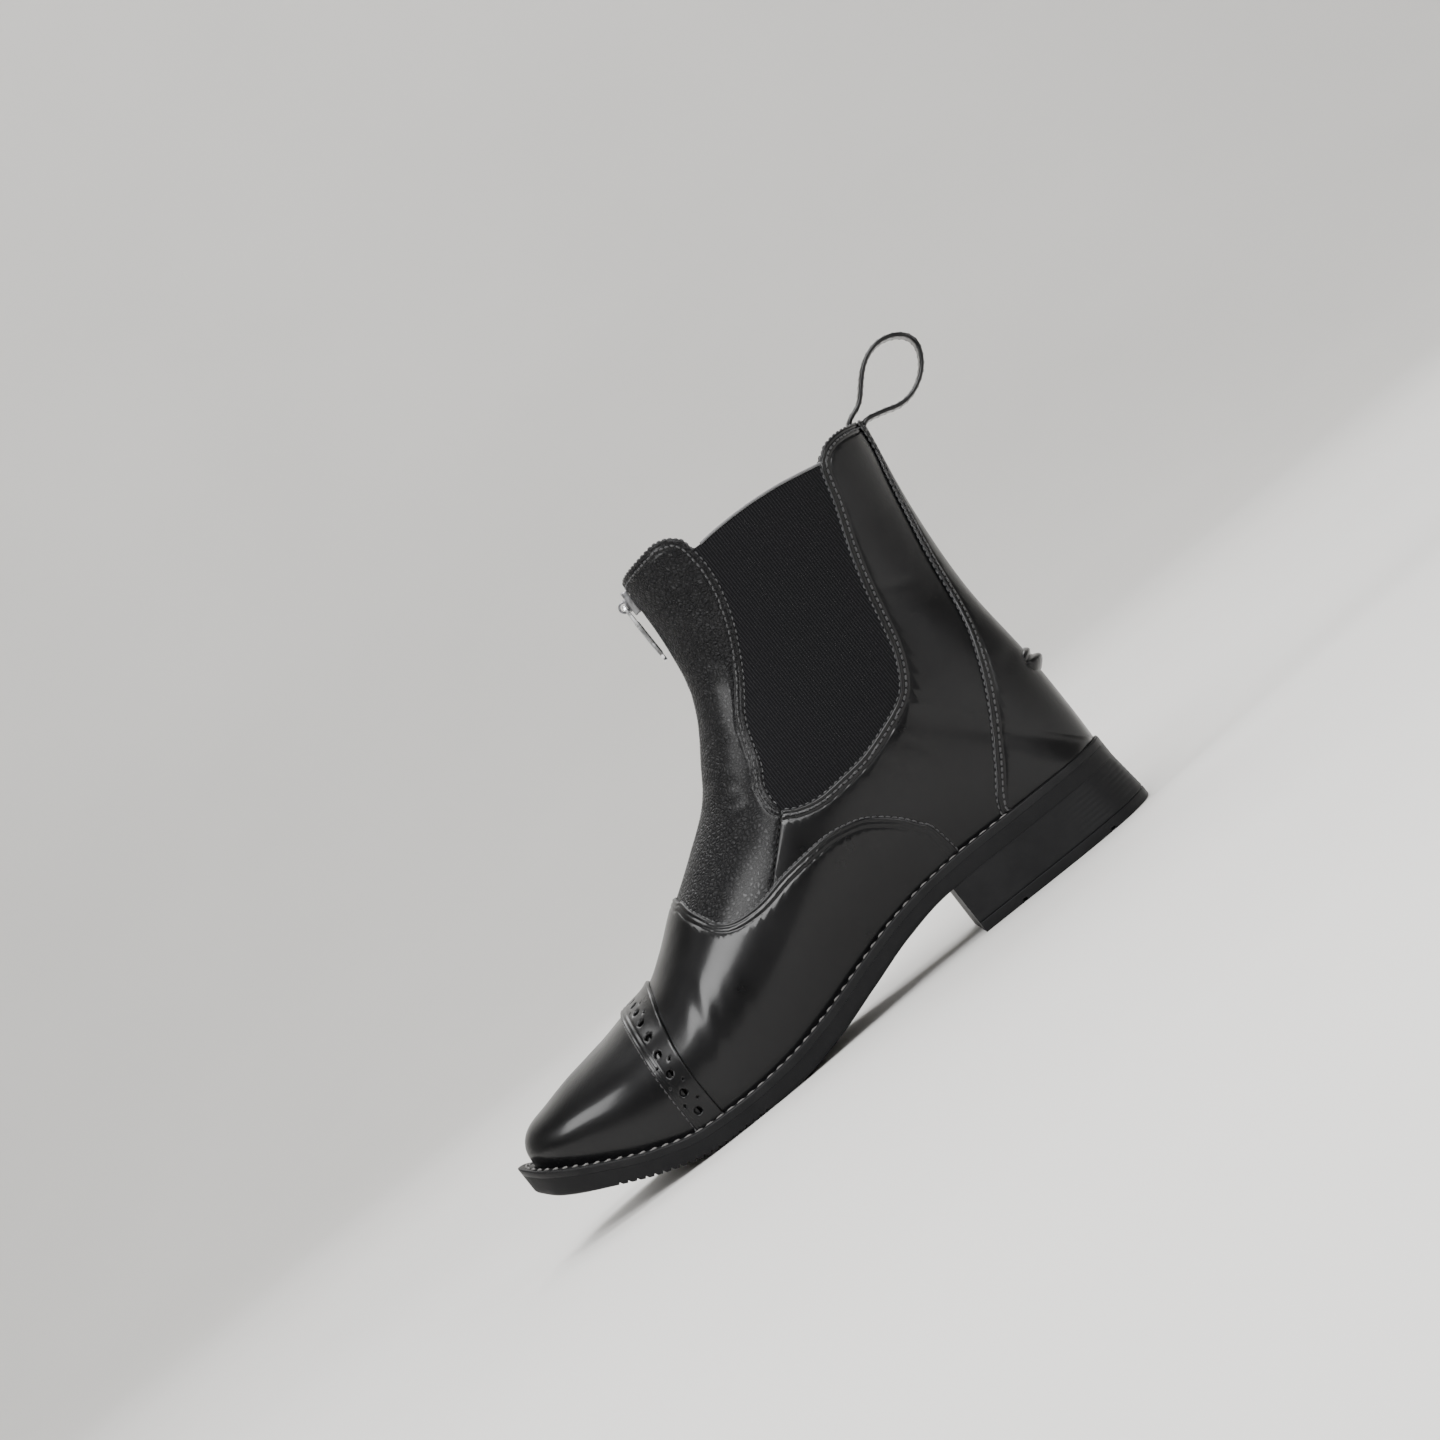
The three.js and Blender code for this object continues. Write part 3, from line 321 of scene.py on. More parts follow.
def splitAt(data, triangles, values, level):
    # new vertices where the values cross the level
    values = np.where(np.abs(values - level) < 1e-4, level + 1e-4, values)
    over = values > level
    count = over[triangles].sum(1)
    mixed = (count == 1) | (count == 2)
    cut = triangles[mixed]
    if not len(cut):
        return data, triangles, values
    flags = over[cut]
    lone = np.where(flags.sum(1) == 1, flags.argmax(1), (~flags).argmax(1))
    rows = np.arange(len(cut))
    a, b, c = cut[rows, lone], cut[rows, (lone + 1) % 3], cut[rows, (lone + 2) % 3]
    edges = np.sort(np.concatenate([np.stack([a, b], 1), np.stack([a, c], 1)]), 1)
    unique, place = np.unique(edges, axis=0, return_inverse=True)
    place = place.ravel()
    low, high = unique[:, 0], unique[:, 1]
    f = (level - values[low]) / (values[high] - values[low])
    data = np.concatenate([data, data[low] * (1 - f)[:, None] + data[high] * f[:, None]])
    p = len(values) + place[:len(cut)]
    q = len(values) + place[len(cut):]
    values = np.concatenate([values, np.full(len(unique), level)])
    fresh = np.concatenate([np.stack([a, p, q], 1), np.stack([p, b, c], 1), np.stack([p, c, q], 1)])
    return data, np.concatenate([triangles[~mixed], fresh]), values


def sheetOf(tRange, sides, step):
    # a sheet of triangles over the last: rows of about one step, a strip for each range of s
    tList = [tRange[0]]
    probe = np.array([0.0, 0.2, 0.4, 0.6, 0.8, 0.995])
    while tList[-1] < tRange[1]:
        t = tList[-1]
        ahead = min(t + 0.02, topSection)
        here = skin(np.full(6, t), probe, np.full(6, -1.0))
        there = skin(np.full(6, ahead), probe, np.full(6, -1.0))
        pace = np.linalg.norm(there - here, axis=1).max() / max(ahead - t, 1e-6)
        tList.append(t + min(step / max(pace, 1e-3), 0.25))
    tList[-1] = tRange[1]
    for i in range(1, len(tList) - 1):
        if tList[i] < backSeam < tList[i + 1]:
            tList[i] = float(backSeam)
    tList = np.array(tList)
    data, triangles, start = [], [], 0
    for low, high in sides:
        columns = max(int(round((high - low) * 90 / step)), 4)
        sList = np.linspace(low, high, columns + 1)
        t, s = np.meshgrid(tList, sList, indexing="ij")
        data.append(np.stack([t.ravel(), s.ravel()], 1))
        n, m = len(tList), columns + 1
        i, j = np.meshgrid(np.arange(n - 1), np.arange(m - 1), indexing="ij")
        a = (start + i * m + j).ravel()
        b, c, d = a + 1, a + m + 1, a + m
        triangles.append(np.concatenate([np.stack([a, b, c], 1), np.stack([a, c, d], 1)]))
        start += n * m
    return np.concatenate(data), np.concatenate(triangles)


def merged(points, triangles):
    keys = np.round(points / 0.004).astype(np.int64)
    _, first, place = np.unique(keys, axis=0, return_index=True, return_inverse=True)
    place = place.ravel()
    triangles = place[triangles]
    a, b, c = triangles.T
    return first, place, triangles[(a != b) & (b != c) & (a != c)]


def rimEdges(triangles):
    edges = np.concatenate([triangles[:, [0, 1]], triangles[:, [1, 2]], triangles[:, [2, 0]]])
    ordered = np.sort(edges, 1)
    _, first, count = np.unique(ordered, axis=0, return_index=True, return_counts=True)
    return edges[first[count == 1]]


def chains(edges):
    # rim edges joined end to end
    after = {}
    for a, b in edges:
        after.setdefault(int(a), []).append(int(b))
    made = []
    while after:
        start = next(iter(after))
        chain = [start]
        while chain[-1] in after:
            nexts = after[chain[-1]]
            follow = nexts.pop()
            if not nexts:
                del after[chain[-1]]
            chain.append(follow)
            if follow == start:
                break
        made.append(chain)
    return made


def toSegments(points, ends, reach=14):
    # distance from each point to the nearest of some segments, at most reach
    away = np.full(len(points), float(reach))
    if not len(ends):
        return away
    ends = np.asarray(ends)
    run = np.linalg.norm(ends[:, 1] - ends[:, 0], axis=1)
    parts = np.maximum(np.ceil(run / 0.4).astype(int), 1)
    owner = np.repeat(np.arange(len(ends)), parts)
    share = np.concatenate([(np.arange(n) + 0.5) / n for n in parts])
    samples = ends[owner, 0] + (ends[owner, 1] - ends[owner, 0]) * share[:, None]
    tree = KDTree(len(samples))
    for i, sample in enumerate(samples):
        tree.insert(sample, i)
    tree.balance()
    cells = np.unique(np.floor(samples / reach).astype(int), axis=0)
    close = set(tuple(c) for cell in cells for c in (cell + offsets for offsets in neighbours))
    own = np.floor(points / reach).astype(int)
    for i in range(len(points)):
        if tuple(own[i]) not in close:
            continue
        _, k, gap = tree.find(points[i])
        if gap > reach:
            continue
        a, b = ends[owner[k]]
        d = b - a
        f = min(max(float((points[i] - a) @ d) / max(float(d @ d), 1e-12), 0), 1)
        gapVector = points[i] - a - f * d
        away[i] = min(reach, math.sqrt(float(gapVector @ gapVector)))
    return away


def meshObject(name, points, faces, material, body="boot", smooth=True):
    mesh = bpy.data.meshes.new(name)
    points = [tuple(p) for p in np.asarray(points) * mm]
    mesh.from_pydata(points, [], [tuple(int(i) for i in f) for f in faces])
    mesh.validate()
    piece = bpy.data.objects.new(name, mesh)
    bpy.context.scene.collection.objects.link(piece)
    mesh.materials.append(material)
    if smooth:
        mesh.polygons.foreach_set("use_smooth", [True] * len(mesh.polygons))
    mesh.update()
    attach(piece, body)
    return piece


# creases: side, path in side-view shares, width and depth in millimetres
creases = []
for side, shift in ((-1, 0.0), (1, 0.008)):
    for path, width, depth in (
            ([(0.690, 0.09), (0.674, 0.17), (0.655, 0.250), (0.640, 0.330)], 2.8, 0.20),
            ([(0.676, 0.08), (0.660, 0.160), (0.644, 0.24), (0.630, 0.310)], 2.6, -0.13),
            ([(0.662, 0.09), (0.648, 0.155), (0.630, 0.23), (0.612, 0.300)], 2.5, 0.15),
            ([(0.636, 0.11), (0.620, 0.185), (0.602, 0.260)], 2.4, 0.11),
            ([(0.612, 0.08), (0.598, 0.150), (0.580, 0.220)], 2.2, 0.08),
            ([(0.560, 0.20), (0.535, 0.225), (0.505, 0.235)], 2.6, 0.10),
            ([(0.345, 0.190), (0.338, 0.140), (0.345, 0.09)], 1.6, 0.18),
            ([(0.500, 0.545), (0.465, 0.535), (0.430, 0.510)], 2.3, 0.45),
            ([(0.475, 0.590), (0.450, 0.575), (0.420, 0.550)], 1.9, 0.34),
            ([(0.470, 0.500), (0.445, 0.480), (0.418, 0.455)], 1.9, 0.28),
            ([(0.440, 0.660), (0.415, 0.640), (0.390, 0.620)], 2.2, 0.25),
            ([(0.262, 0.300), (0.240, 0.240), (0.228, 0.170)], 2.2, 0.09),
            ([(0.225, 0.320), (0.205, 0.255), (0.190, 0.190)], 2.2, 0.09),
            ([(0.168, 0.380), (0.150, 0.320), (0.140, 0.250)], 2.2, 0.09),
            ([(0.120, 0.640), (0.095, 0.610), (0.070, 0.590)], 2.2, 0.09),
            ([(0.050, 0.270), (0.034, 0.300), (0.016, 0.315)], 1.8, 0.18)):
        path = [(at + shift, up) for at, up in path]
        creases.append({"side": side, "path": path, "width": width, "depth": depth})


def creaseDepth(points):
    depth = np.zeros(len(points))
    for crease in creases:
        hand = np.sign(points[:, 1] - swing(atX(points[:, 0])))
        picked = np.where(hand == crease["side"])[0]
        if not len(picked):
            continue
        line = sideLine(crease["path"], 6)
        place = points[picked][:, [0, 2]]
        away = np.full(len(picked), 1e9)
        share = np.zeros(len(picked))
        for k in range(len(line) - 1):
            d = line[k + 1] - line[k]
            f = np.clip(((place - line[k]) @ d) / max(d @ d, 1e-9), 0, 1)
            gap = np.linalg.norm(place - line[k] - f[:, None] * d, axis=1)
            share = np.where(gap < away, (k + f) / (len(line) - 1), share)
            away = np.minimum(away, gap)
        fade = np.sin(np.pi * np.clip(share, 0, 1)) ** 0.7
        depth[picked] += crease["depth"] * fade * np.exp(-(away / crease["width"]) ** 2)
    return depth


# a panel's edge: steps as shares of the rim's width, steps beside a stitch row, and how far each reaches
panelForm = {"hidden": 0.6, "rimSteps": (0.12, 0.45, 1.0), "rimReach": 6,
             "rowSteps": (-0.65, -0.25, 0.25, 0.65), "rowReach": 9, "edge": 0.35, "grooveWidth": 0.42}


def panel(name, tRange, sides, inside, base, thickness, material, step=1.5, rim=0.6,
          rows=(), rowEdge=None, groove=0.28, holes=(), creased=False, tuck=1.2):
    # a leather panel over the last, cut to its outline, with a rounded edge and a groove under each
    # stitch row; returns the piece and its rim as chains of points
    data, triangles = sheetOf(tRange, sides, step)

    def onTop():
        return lifted(data[:, 0], data[:, 1], base + thickness, tuck)

    values = inside(onTop())
    data, triangles, values = splitAt(data, triangles, values, 0)
    triangles = triangles[(values[triangles] >= -1e-3).all(1)]
    for centre, radius in holes:
        away = np.linalg.norm(onTop() - centre, axis=1)
        data, triangles, away = splitAt(data, triangles, away, radius)
        triangles = triangles[(away[triangles] >= radius - 1e-3).all(1)]

    # the rim, without the part that the welt hides
    points = onTop()
    first, _, joined = merged(points, triangles)
    flat = points[first]
    segments = [(flat[a], flat[b]) for a, b in rimEdges(joined)]
    middle = np.array([(a + b) / 2 for a, b in segments])
    hiddenRim = middle[:, 2] < weltTop(atX(middle[:, 0])) + panelForm["hidden"]
    shown = [s for s, hidden in zip(segments, hiddenRim) if not hidden]
    away = toSegments(onTop(), shown, panelForm["rimReach"])
    for part in panelForm["rimSteps"]:
        data, triangles, away = splitAt(data, triangles, away, part * rim)
    stitched = shown
    if rowEdge is not None:
        stitched = [s for s in shown if rowEdge((s[0] + s[1]) / 2)]
    rowAway = None
    if rows:
        rowAway = toSegments(onTop(), stitched, panelForm["rowReach"])
        for row in rows:
            for beside in panelForm["rowSteps"]:
                data = np.concatenate([data, away[:, None]], 1)
                data, triangles, rowAway = splitAt(data, triangles, rowAway, row + beside)
                away = data[:, 2]
                data = data[:, :2]
    used = np.unique(triangles)
    place = np.full(len(data), -1)
    place[used] = np.arange(len(used))
    data, triangles, away = data[used], place[triangles], away[used]
    if rowAway is not None:
        rowAway = rowAway[used]
    share = np.clip(away / rim, 0, 1)
    flatShare = panelForm["edge"]
    offset = base + thickness * (flatShare + (1 - flatShare) * np.sqrt(np.maximum(1 - (1 - share) ** 2, 0)))
    if rowAway is not None:
        for row in rows:
            offset = offset - groove * np.exp(-((rowAway - row) / panelForm["grooveWidth"]) ** 2)
    if creased:
        points = lifted(data[:, 0], data[:, 1], offset, tuck)
        offset = offset - creaseDepth(points)
    top = lifted(data[:, 0], data[:, 1], offset, tuck)
    under = lifted(data[:, 0], data[:, 1], base, tuck)
    plain = onTop()
    first, _, joined = merged(plain, triangles)
    top, under = top[first], under[first]
    count = len(top)
    # the side of the sheet that faces out
    a, b, c = (top[joined[:, k]] for k in range(3))
    t, s = data[first][joined[:, 0]].T[:2]
    _, normal = skinAndNormal(t, np.clip(np.abs(s), 0.02, 0.98), np.where(s < 0, -1.0, 1.0))
    if (np.cross(b - a, c - a) * normal).sum() < 0:
        joined = joined[:, ::-1].copy()
    ends = rimEdges(joined)
    walls = np.concatenate([np.stack([ends[:, 1], ends[:, 0], ends[:, 0] + count], 1),
                            np.stack([ends[:, 1], ends[:, 0] + count, ends[:, 1] + count], 1)])
    faces = np.concatenate([joined, joined[:, ::-1] + count, walls])
    piece = meshObject(name, np.concatenate([top, under]), faces, material)
    loops = [plain[first][chain] for chain in chains(ends)]
    tree = BVHTree.FromPolygons([tuple(p) for p in top], [tuple(int(i) for i in f) for f in joined])
    print("  panel", name, len(faces), "triangles")
    return {"piece": piece, "loops": loops, "tree": tree}


# materials, all on object coordinates in metres

def newMaterial(name, colour, roughness, metallic=0.0):
    material = bpy.data.materials.new(name)
    material.use_nodes = True
    shader = material.node_tree.nodes["Principled BSDF"]
    shader.inputs["Base Color"].default_value = (*colour, 1)
    shader.inputs["Roughness"].default_value = roughness
    shader.inputs["Metallic"].default_value = metallic
    return material, material.node_tree, shader


def addNode(tree, kind, settings=None, **sockets):
    node = tree.nodes.new(kind)
    for name, value in (settings or {}).items():
        setattr(node, name, value)
    for name, value in sockets.items():
        socket = node.inputs[name.replace("_", " ")]
        if isinstance(value, bpy.types.NodeSocket):
            tree.links.new(value, socket)
        else:
            socket.default_value = value
    return node


def placeOf(tree):
    return addNode(tree, "ShaderNodeTexCoord").outputs["Object"]


def noiseAt(tree, place, scale, detail=3.0, rough=0.5):
    node = addNode(tree, "ShaderNodeTexNoise", Vector=place, Scale=scale, Detail=detail, Roughness=rough)
    return node.outputs["Fac"]


def waves(tree, place, direction, scale, distortion):
    node = addNode(tree, "ShaderNodeTexWave", {"bands_direction": direction}, Vector=place, Scale=scale,
                   Distortion=distortion)
    return node.outputs["Fac"]


def cellEdges(tree, place, scale):
    node = addNode(tree, "ShaderNodeTexVoronoi", {"feature": "DISTANCE_TO_EDGE"}, Vector=place, Scale=scale)
    return node.outputs["Distance"]


def paint(tree, shader, factor, dark, light):
    tree.links.new(tint(tree, factor, dark, light), shader.inputs["Base Color"])


def spread(tree, value, low, high, fromLow=0.0, fromHigh=1.0):
    node = addNode(tree, "ShaderNodeMapRange", Value=value)
    for name, number in (("From Min", fromLow), ("From Max", fromHigh), ("To Min", low), ("To Max", high)):
        node.inputs[name].default_value = number
    return node.outputs["Result"]


def tint(tree, factor, dark, light):
    node = addNode(tree, "ShaderNodeMix", {"data_type": "RGBA"})
    tree.links.new(factor, node.inputs[0])
    node.inputs[6].default_value = (*dark, 1)
    node.inputs[7].default_value = (*light, 1)
    return node.outputs[2]


def bumps(tree, shader, *layers):
    # each layer is a height, a strength and a depth in metres
    normal = None
    for height, strength, depth in layers:
        node = addNode(tree, "ShaderNodeBump", Height=height, Strength=strength, Distance=depth)
        if normal is not None:
            tree.links.new(normal, node.inputs["Normal"])
        normal = node.outputs["Normal"]
    tree.links.new(normal, shader.inputs["Normal"])


def leatherSmooth(name):
    material, tree, shader = newMaterial(name, (0.006, 0.006, 0.0065), 0.32)
    place = placeOf(tree)
    broad = noiseAt(tree, place, 45, 4)
    fine = noiseAt(tree, place, 1500, 4, 0.6)
    paint(tree, shader, broad, (0.0022, 0.0022, 0.0025), (0.0045, 0.0045, 0.005))
    tree.links.new(spread(tree, broad, 0.27, 0.40, 0.3, 0.7), shader.inputs["Roughness"])
    shader.inputs["Specular IOR Level"].default_value = 0.12
    shader.inputs["Coat Weight"].default_value = 0.30
    shader.inputs["Coat Roughness"].default_value = 0.17
    cells = spread(tree, cellEdges(tree, place, 520.0), 0, 1, 0, 0.12)
    bumps(tree, shader, (broad, 0.30, 0.0014), (cells, 0.12, 0.00010), (fine, 0.20, 0.00010))
    return material


def leatherGrained(name):
    material, tree, shader = newMaterial(name, (0.006, 0.006, 0.0065), 0.38)
    place = placeOf(tree)
    drift = addNode(tree, "ShaderNodeTexNoise", Vector=place, Scale=420.0, Detail=2.0)
    shift = addNode(tree, "ShaderNodeVectorMath", {"operation": "MULTIPLY_ADD"})
    tree.links.new(drift.outputs["Color"], shift.inputs[0])
    shift.inputs[1].default_value = (0.0011, 0.0011, 0.0011)
    tree.links.new(place, shift.inputs[2])
    bent = shift.outputs["Vector"]
    pebbles = spread(tree, cellEdges(tree, bent, 600.0), 0, 1, 0, 0.30)
    broad = noiseAt(tree, place, 60, 3)
    fine = noiseAt(tree, place, 2400, 3)
    paint(tree, shader, pebbles, (0.003, 0.003, 0.0035), (0.008, 0.008, 0.009))
    tree.links.new(spread(tree, pebbles, 0.60, 0.30), shader.inputs["Roughness"])
    shader.inputs["Specular IOR Level"].default_value = 0.14
    shader.inputs["Coat Weight"].default_value = 0.18
    shader.inputs["Coat Roughness"].default_value = 0.25
    bumps(tree, shader, (broad, 0.3, 0.0012), (pebbles, 0.95, 0.0007), (fine, 0.2, 0.00008))
    return material


def wovenElastic(name):
    material, tree, shader = newMaterial(name, (0.006, 0.006, 0.0065), 0.92)
    place = placeOf(tree)
    ribs = waves(tree, place, "X", 300.0, 0.25)
    weft = waves(tree, place, "Z", 430.0, 0.4)
    fuzz = noiseAt(tree, place, 2600, 3)
    broad = noiseAt(tree, place, 70, 3)
    paint(tree, shader, ribs, (0.003, 0.003, 0.0035), (0.011, 0.011, 0.012))
    tree.links.new(spread(tree, fuzz, 0.82, 0.98), shader.inputs["Roughness"])
    shader.inputs["Sheen Weight"].default_value = 0.02
    shader.inputs["Sheen Roughness"].default_value = 0.5
    shader.inputs["Specular IOR Level"].default_value = 0.08
    bumps(tree, shader, (broad, 0.2, 0.001), (ribs, 0.7, 0.00032), (weft, 0.5, 0.00016), (fuzz, 0.4, 0.0001))
    return material


def rubber(name, dark, light, shine, stretch=None):
    material, tree, shader = newMaterial(name, light, shine)
    place = placeOf(tree)
    if stretch:
        turn = addNode(tree, "ShaderNodeMapping", Vector=place, Scale=stretch)
        lines = noiseAt(tree, turn.outputs["Vector"], 420, 4, 0.6)
    else:
        lines = noiseAt(tree, place, 140, 4, 0.6)
    fine = noiseAt(tree, place, 1900, 3)
    dust = noiseAt(tree, place, 60, 5, 0.7)
    paint(tree, shader, dust, dark, light)
    tree.links.new(spread(tree, dust, shine - 0.08, shine + 0.12, 0.3, 0.7), shader.inputs["Roughness"])
    shader.inputs["Specular IOR Level"].default_value = 0.10
    bumps(tree, shader, (lines, 0.22, 0.00030), (fine, 0.35, 0.00012))
    return material


def threadOf(name, dark, light, shine):
    material, tree, shader = newMaterial(name, light, shine)
    place = placeOf(tree)
    turn = addNode(tree, "ShaderNodeMapping", Vector=place, Rotation=(0.6, 0.6, 0.6))
    ply = waves(tree, turn.outputs["Vector"], "X", 900.0, 1.0)
    paint(tree, shader, ply, dark, light)
    shader.inputs["Sheen Weight"].default_value = 0.06
    bumps(tree, shader, (ply, 0.6, 0.00012))
    return material


def metalOf(name, dark, light, low, high):
    material, tree, shader = newMaterial(name, light, low, 1.0)
    place = placeOf(tree)
    wear = noiseAt(tree, place, 420, 5, 0.65)
    scratch = addNode(tree, "ShaderNodeMapping", Vector=place, Scale=(1, 1, 0.06))
    lines = noiseAt(tree, scratch.outputs["Vector"], 3200, 2)
    paint(tree, shader, wear, dark, light)
    tree.links.new(spread(tree, wear, low, high, 0.35, 0.7), shader.inputs["Roughness"])
    bumps(tree, shader, (wear, 0.15, 0.00008), (lines, 0.12, 0.00003))
    return material


def liningCloth(name):
    material, tree, shader = newMaterial(name, (0.05, 0.047, 0.044), 0.9)
    place = placeOf(tree)
    across = waves(tree, place, "DIAGONAL", 260.0, 0.6)
    fuzz = noiseAt(tree, place, 1800, 3)
    broad = noiseAt(tree, place, 50, 3)
    paint(tree, shader, broad, (0.030, 0.028, 0.026), (0.062, 0.058, 0.054))
    tree.links.new(spread(tree, fuzz, 0.8, 0.96), shader.inputs["Roughness"])
    bumps(tree, shader, (across, 0.4, 0.00018), (fuzz, 0.4, 0.00012))
    return material


smoothLeather = leatherSmooth("smoothLeather")
grainedLeather = leatherGrained("grainedLeather")
elasticCloth = wovenElastic("elasticCloth")
soleRubber = rubber("soleRubber", (0.005, 0.005, 0.0055), (0.010, 0.010, 0.0105), 0.5)
heelRubber = rubber("heelRubber", (0.005, 0.005, 0.0055), (0.011, 0.011, 0.0115), 0.48, (0.12, 0.12, 1.6))
weltRubber = rubber("weltRubber", (0.006, 0.006, 0.0065), (0.013, 0.013, 0.0135), 0.42)
blackThread = threadOf("blackThread", (0.012, 0.012, 0.013), (0.045, 0.045, 0.047), 0.34)
weltThread = threadOf("weltThread", (0.06, 0.058, 0.056), (0.17, 0.165, 0.16), 0.55)
edgeThread = threadOf("edgeThread", (0.05, 0.05, 0.052), (0.14, 0.14, 0.145), 0.45)
brightMetal = metalOf("brightMetal", (0.55, 0.56, 0.58), (0.82, 0.83, 0.85), 0.14, 0.32)
darkMetal = metalOf("darkMetal", (0.10, 0.10, 0.105), (0.30, 0.30, 0.31), 0.26, 0.46)
zipTape = wovenElastic("zipTape")
lining = liningCloth("lining")
print("materials made")

# leather panels


def nearLine(line, reach=1.2):
    def test(point):
        place = np.asarray(point)[[0, 2]]
        d = line[1:] - line[:-1]
        f = np.clip(((place - line[:-1]) * d).sum(1) / np.maximum((d * d).sum(1), 1e-9), 0, 1)
        return np.linalg.norm(place - line[:-1] - f[:, None] * d, axis=1).min() < reach
    return test


def sideInside(*outlines):
    # inside every outline; an outline is a closed line of side-view points
    def test(points):
        place = points[:, [0, 2]]
        value = np.full(len(points), 1e9)
        for outline in outlines:
            value = np.minimum(value, insideBy(place, outline))
        return value
    return test


farX = 400.0
bandRearLine, bandFrontLine = sideLine(bandRear), sideLine(bandFront)
vampEdge = sideLine(vampLine)
counterEdge = sideLine(counterLine)
goreEdge = sideLine(goreLine)
shift = lambda line, x, z=0.0: line + np.array([x, z])

panelSizes = {
    "leather": 1.3, "counter": 1.1, "wall": 2.2,
    "goreTop": -0.75, "goreThickness": 1.1, "slotHalf": 4.5,
    "rowNear": 1.5, "rowFar": 3.6,
}
made = {}

capOutline = np.concatenate([shift(bandRearLine, -6.0), [[-farX, -60], [-farX, 200]]])
made["toe_cap"] = panel("toe_cap", (0, 8.0), [(-1, 1)], sideInside(capOutline), -0.2, 1.3, smoothLeather,
                        creased=True)

vampOutline = np.concatenate([vampEdge, shift(bandRearLine, -5.4)[::-1]])
vampRows = nearLine(vampEdge)
made["vamp"] = panel("vamp", (6.0, 14.5), [(-1, 1)], sideInside(vampOutline), -0.2, 1.3, smoothLeather,
                     rows=(panelSizes["rowNear"], panelSizes["rowFar"]), rowEdge=vampRows,
                     creased=True)

bandOutline = np.concatenate([bandRearLine, bandFrontLine])


def middleX(z):
    rear = np.interp(z, bandRearLine[::-1, 1], bandRearLine[::-1, 0])
    return (rear + np.interp(z, bandFrontLine[:, 1], bandFrontLine[:, 0])) / 2


def onBand(s, across):
    # points of the band at s, some millimetres forward of its middle line
    s = np.atleast_1d(np.asarray(s, float))
    low, high = np.full(len(s), 3.0), np.full(len(s), 9.0)
    for _ in range(24):
        t = (low + high) / 2
        p = lifted(t, s, 2.45)
        ahead = p[:, 0] < middleX(p[:, 2]) - across
        low, high = np.where(ahead, t, low), np.where(ahead, high, t)
    return p


def bandHoles():
    spots = {"big": 1.35, "small": 0.45, "spacing": 8.4, "pair": 3.1}
    sList = np.linspace(-0.93, 0.93, 300)
    course = onBand(sList, 0.6)
    run = runOf(course)
    centre = np.interp(0, sList, run)
    count = int(min(centre, run[-1] - centre) // spots["spacing"])
    places = centre + np.arange(-count, count + 1) * spots["spacing"]
    holes = [(p, spots["big"]) for p in onBand(np.interp(places, run, sList), 0.6)]
    between = np.interp(places[:-1] + spots["spacing"] / 2, run, sList)
    for across in (spots["pair"] + 0.2, 0.8 - spots["pair"]):
        holes += [(p, spots["small"]) for p in onBand(between, across)]
    return holes


made["cap_band"] = panel("toe_band", (4.0, 8.6), [(-1, 1)], sideInside(bandOutline), 1.05, 1.5, smoothLeather,
                         step=0.9, rim=0.7, rows=(1.3, 3.1), rowEdge=nearLine(bandFrontLine), groove=0.22,
                         holes=bandHoles())

counterOutline = np.concatenate([counterEdge, [[farX, -60], [farX, 260]]])
collarTop = sideLine(collarLine, 6)
aboveEverything = [[farX, collarTop[-1, 1]], [farX, -80], [-farX, -80], [-farX, collarTop[0, 1]]]
belowCollar = np.concatenate([collarTop, aboveEverything])
made["heel_counter"] = panel("counter_leather", (12.5, 23), [(-1, -0.25), (0.25, 1)],
                             sideInside(counterOutline, belowCollar), 0.2, panelSizes["counter"],
                             smoothLeather, rows=(1.5, 3.5), rowEdge=nearLine(counterEdge, 1.4), creased=True)

# zip panels: tab, gore front, short seam, then under the vamp
tabEdge = smoothLine(sidePoint([r[0] for r in collarLine[:7]] + [r[0] for r in goreLine[1:11]],
                               [r[1] for r in collarLine[:7]] + [r[1] for r in goreLine[1:11]]), 8)
seamEdge = sidePoint([0.403, 0.479], [0.3945, 0.300])
panelFoot = sidePoint([0.50, 0.60, 0.66], [0.22, 0.33, 0.36])
zipOutline = np.concatenate([[[-130, tabEdge[0, 1]]], tabEdge, seamEdge, panelFoot,
                             [[-190, 60], [-190, tabEdge[0, 1]]]])


def zipInside(points):
    slot = np.abs(points[:, 1]) - panelSizes["slotHalf"]
    slot = np.where(points[:, 0] < -125, np.maximum(slot, 0.5), slot)
    return np.minimum(insideBy(points[:, [0, 2]], zipOutline), slot)


tabRows = nearLine(tabEdge)
thick = panelSizes["leather"]
rowPair = (panelSizes["rowNear"], panelSizes["rowFar"])
for name, sides in (("outer", [(-1, 0)]), ("inner", [(0, 1)])):
    made["zip_panel_" + name] = panel("zip_panel_" + name, (8.2, 23), sides, zipInside, -thick, thick,
                                      grainedLeather, rows=rowPair, rowEdge=tabRows, rim=0.8, creased=True)

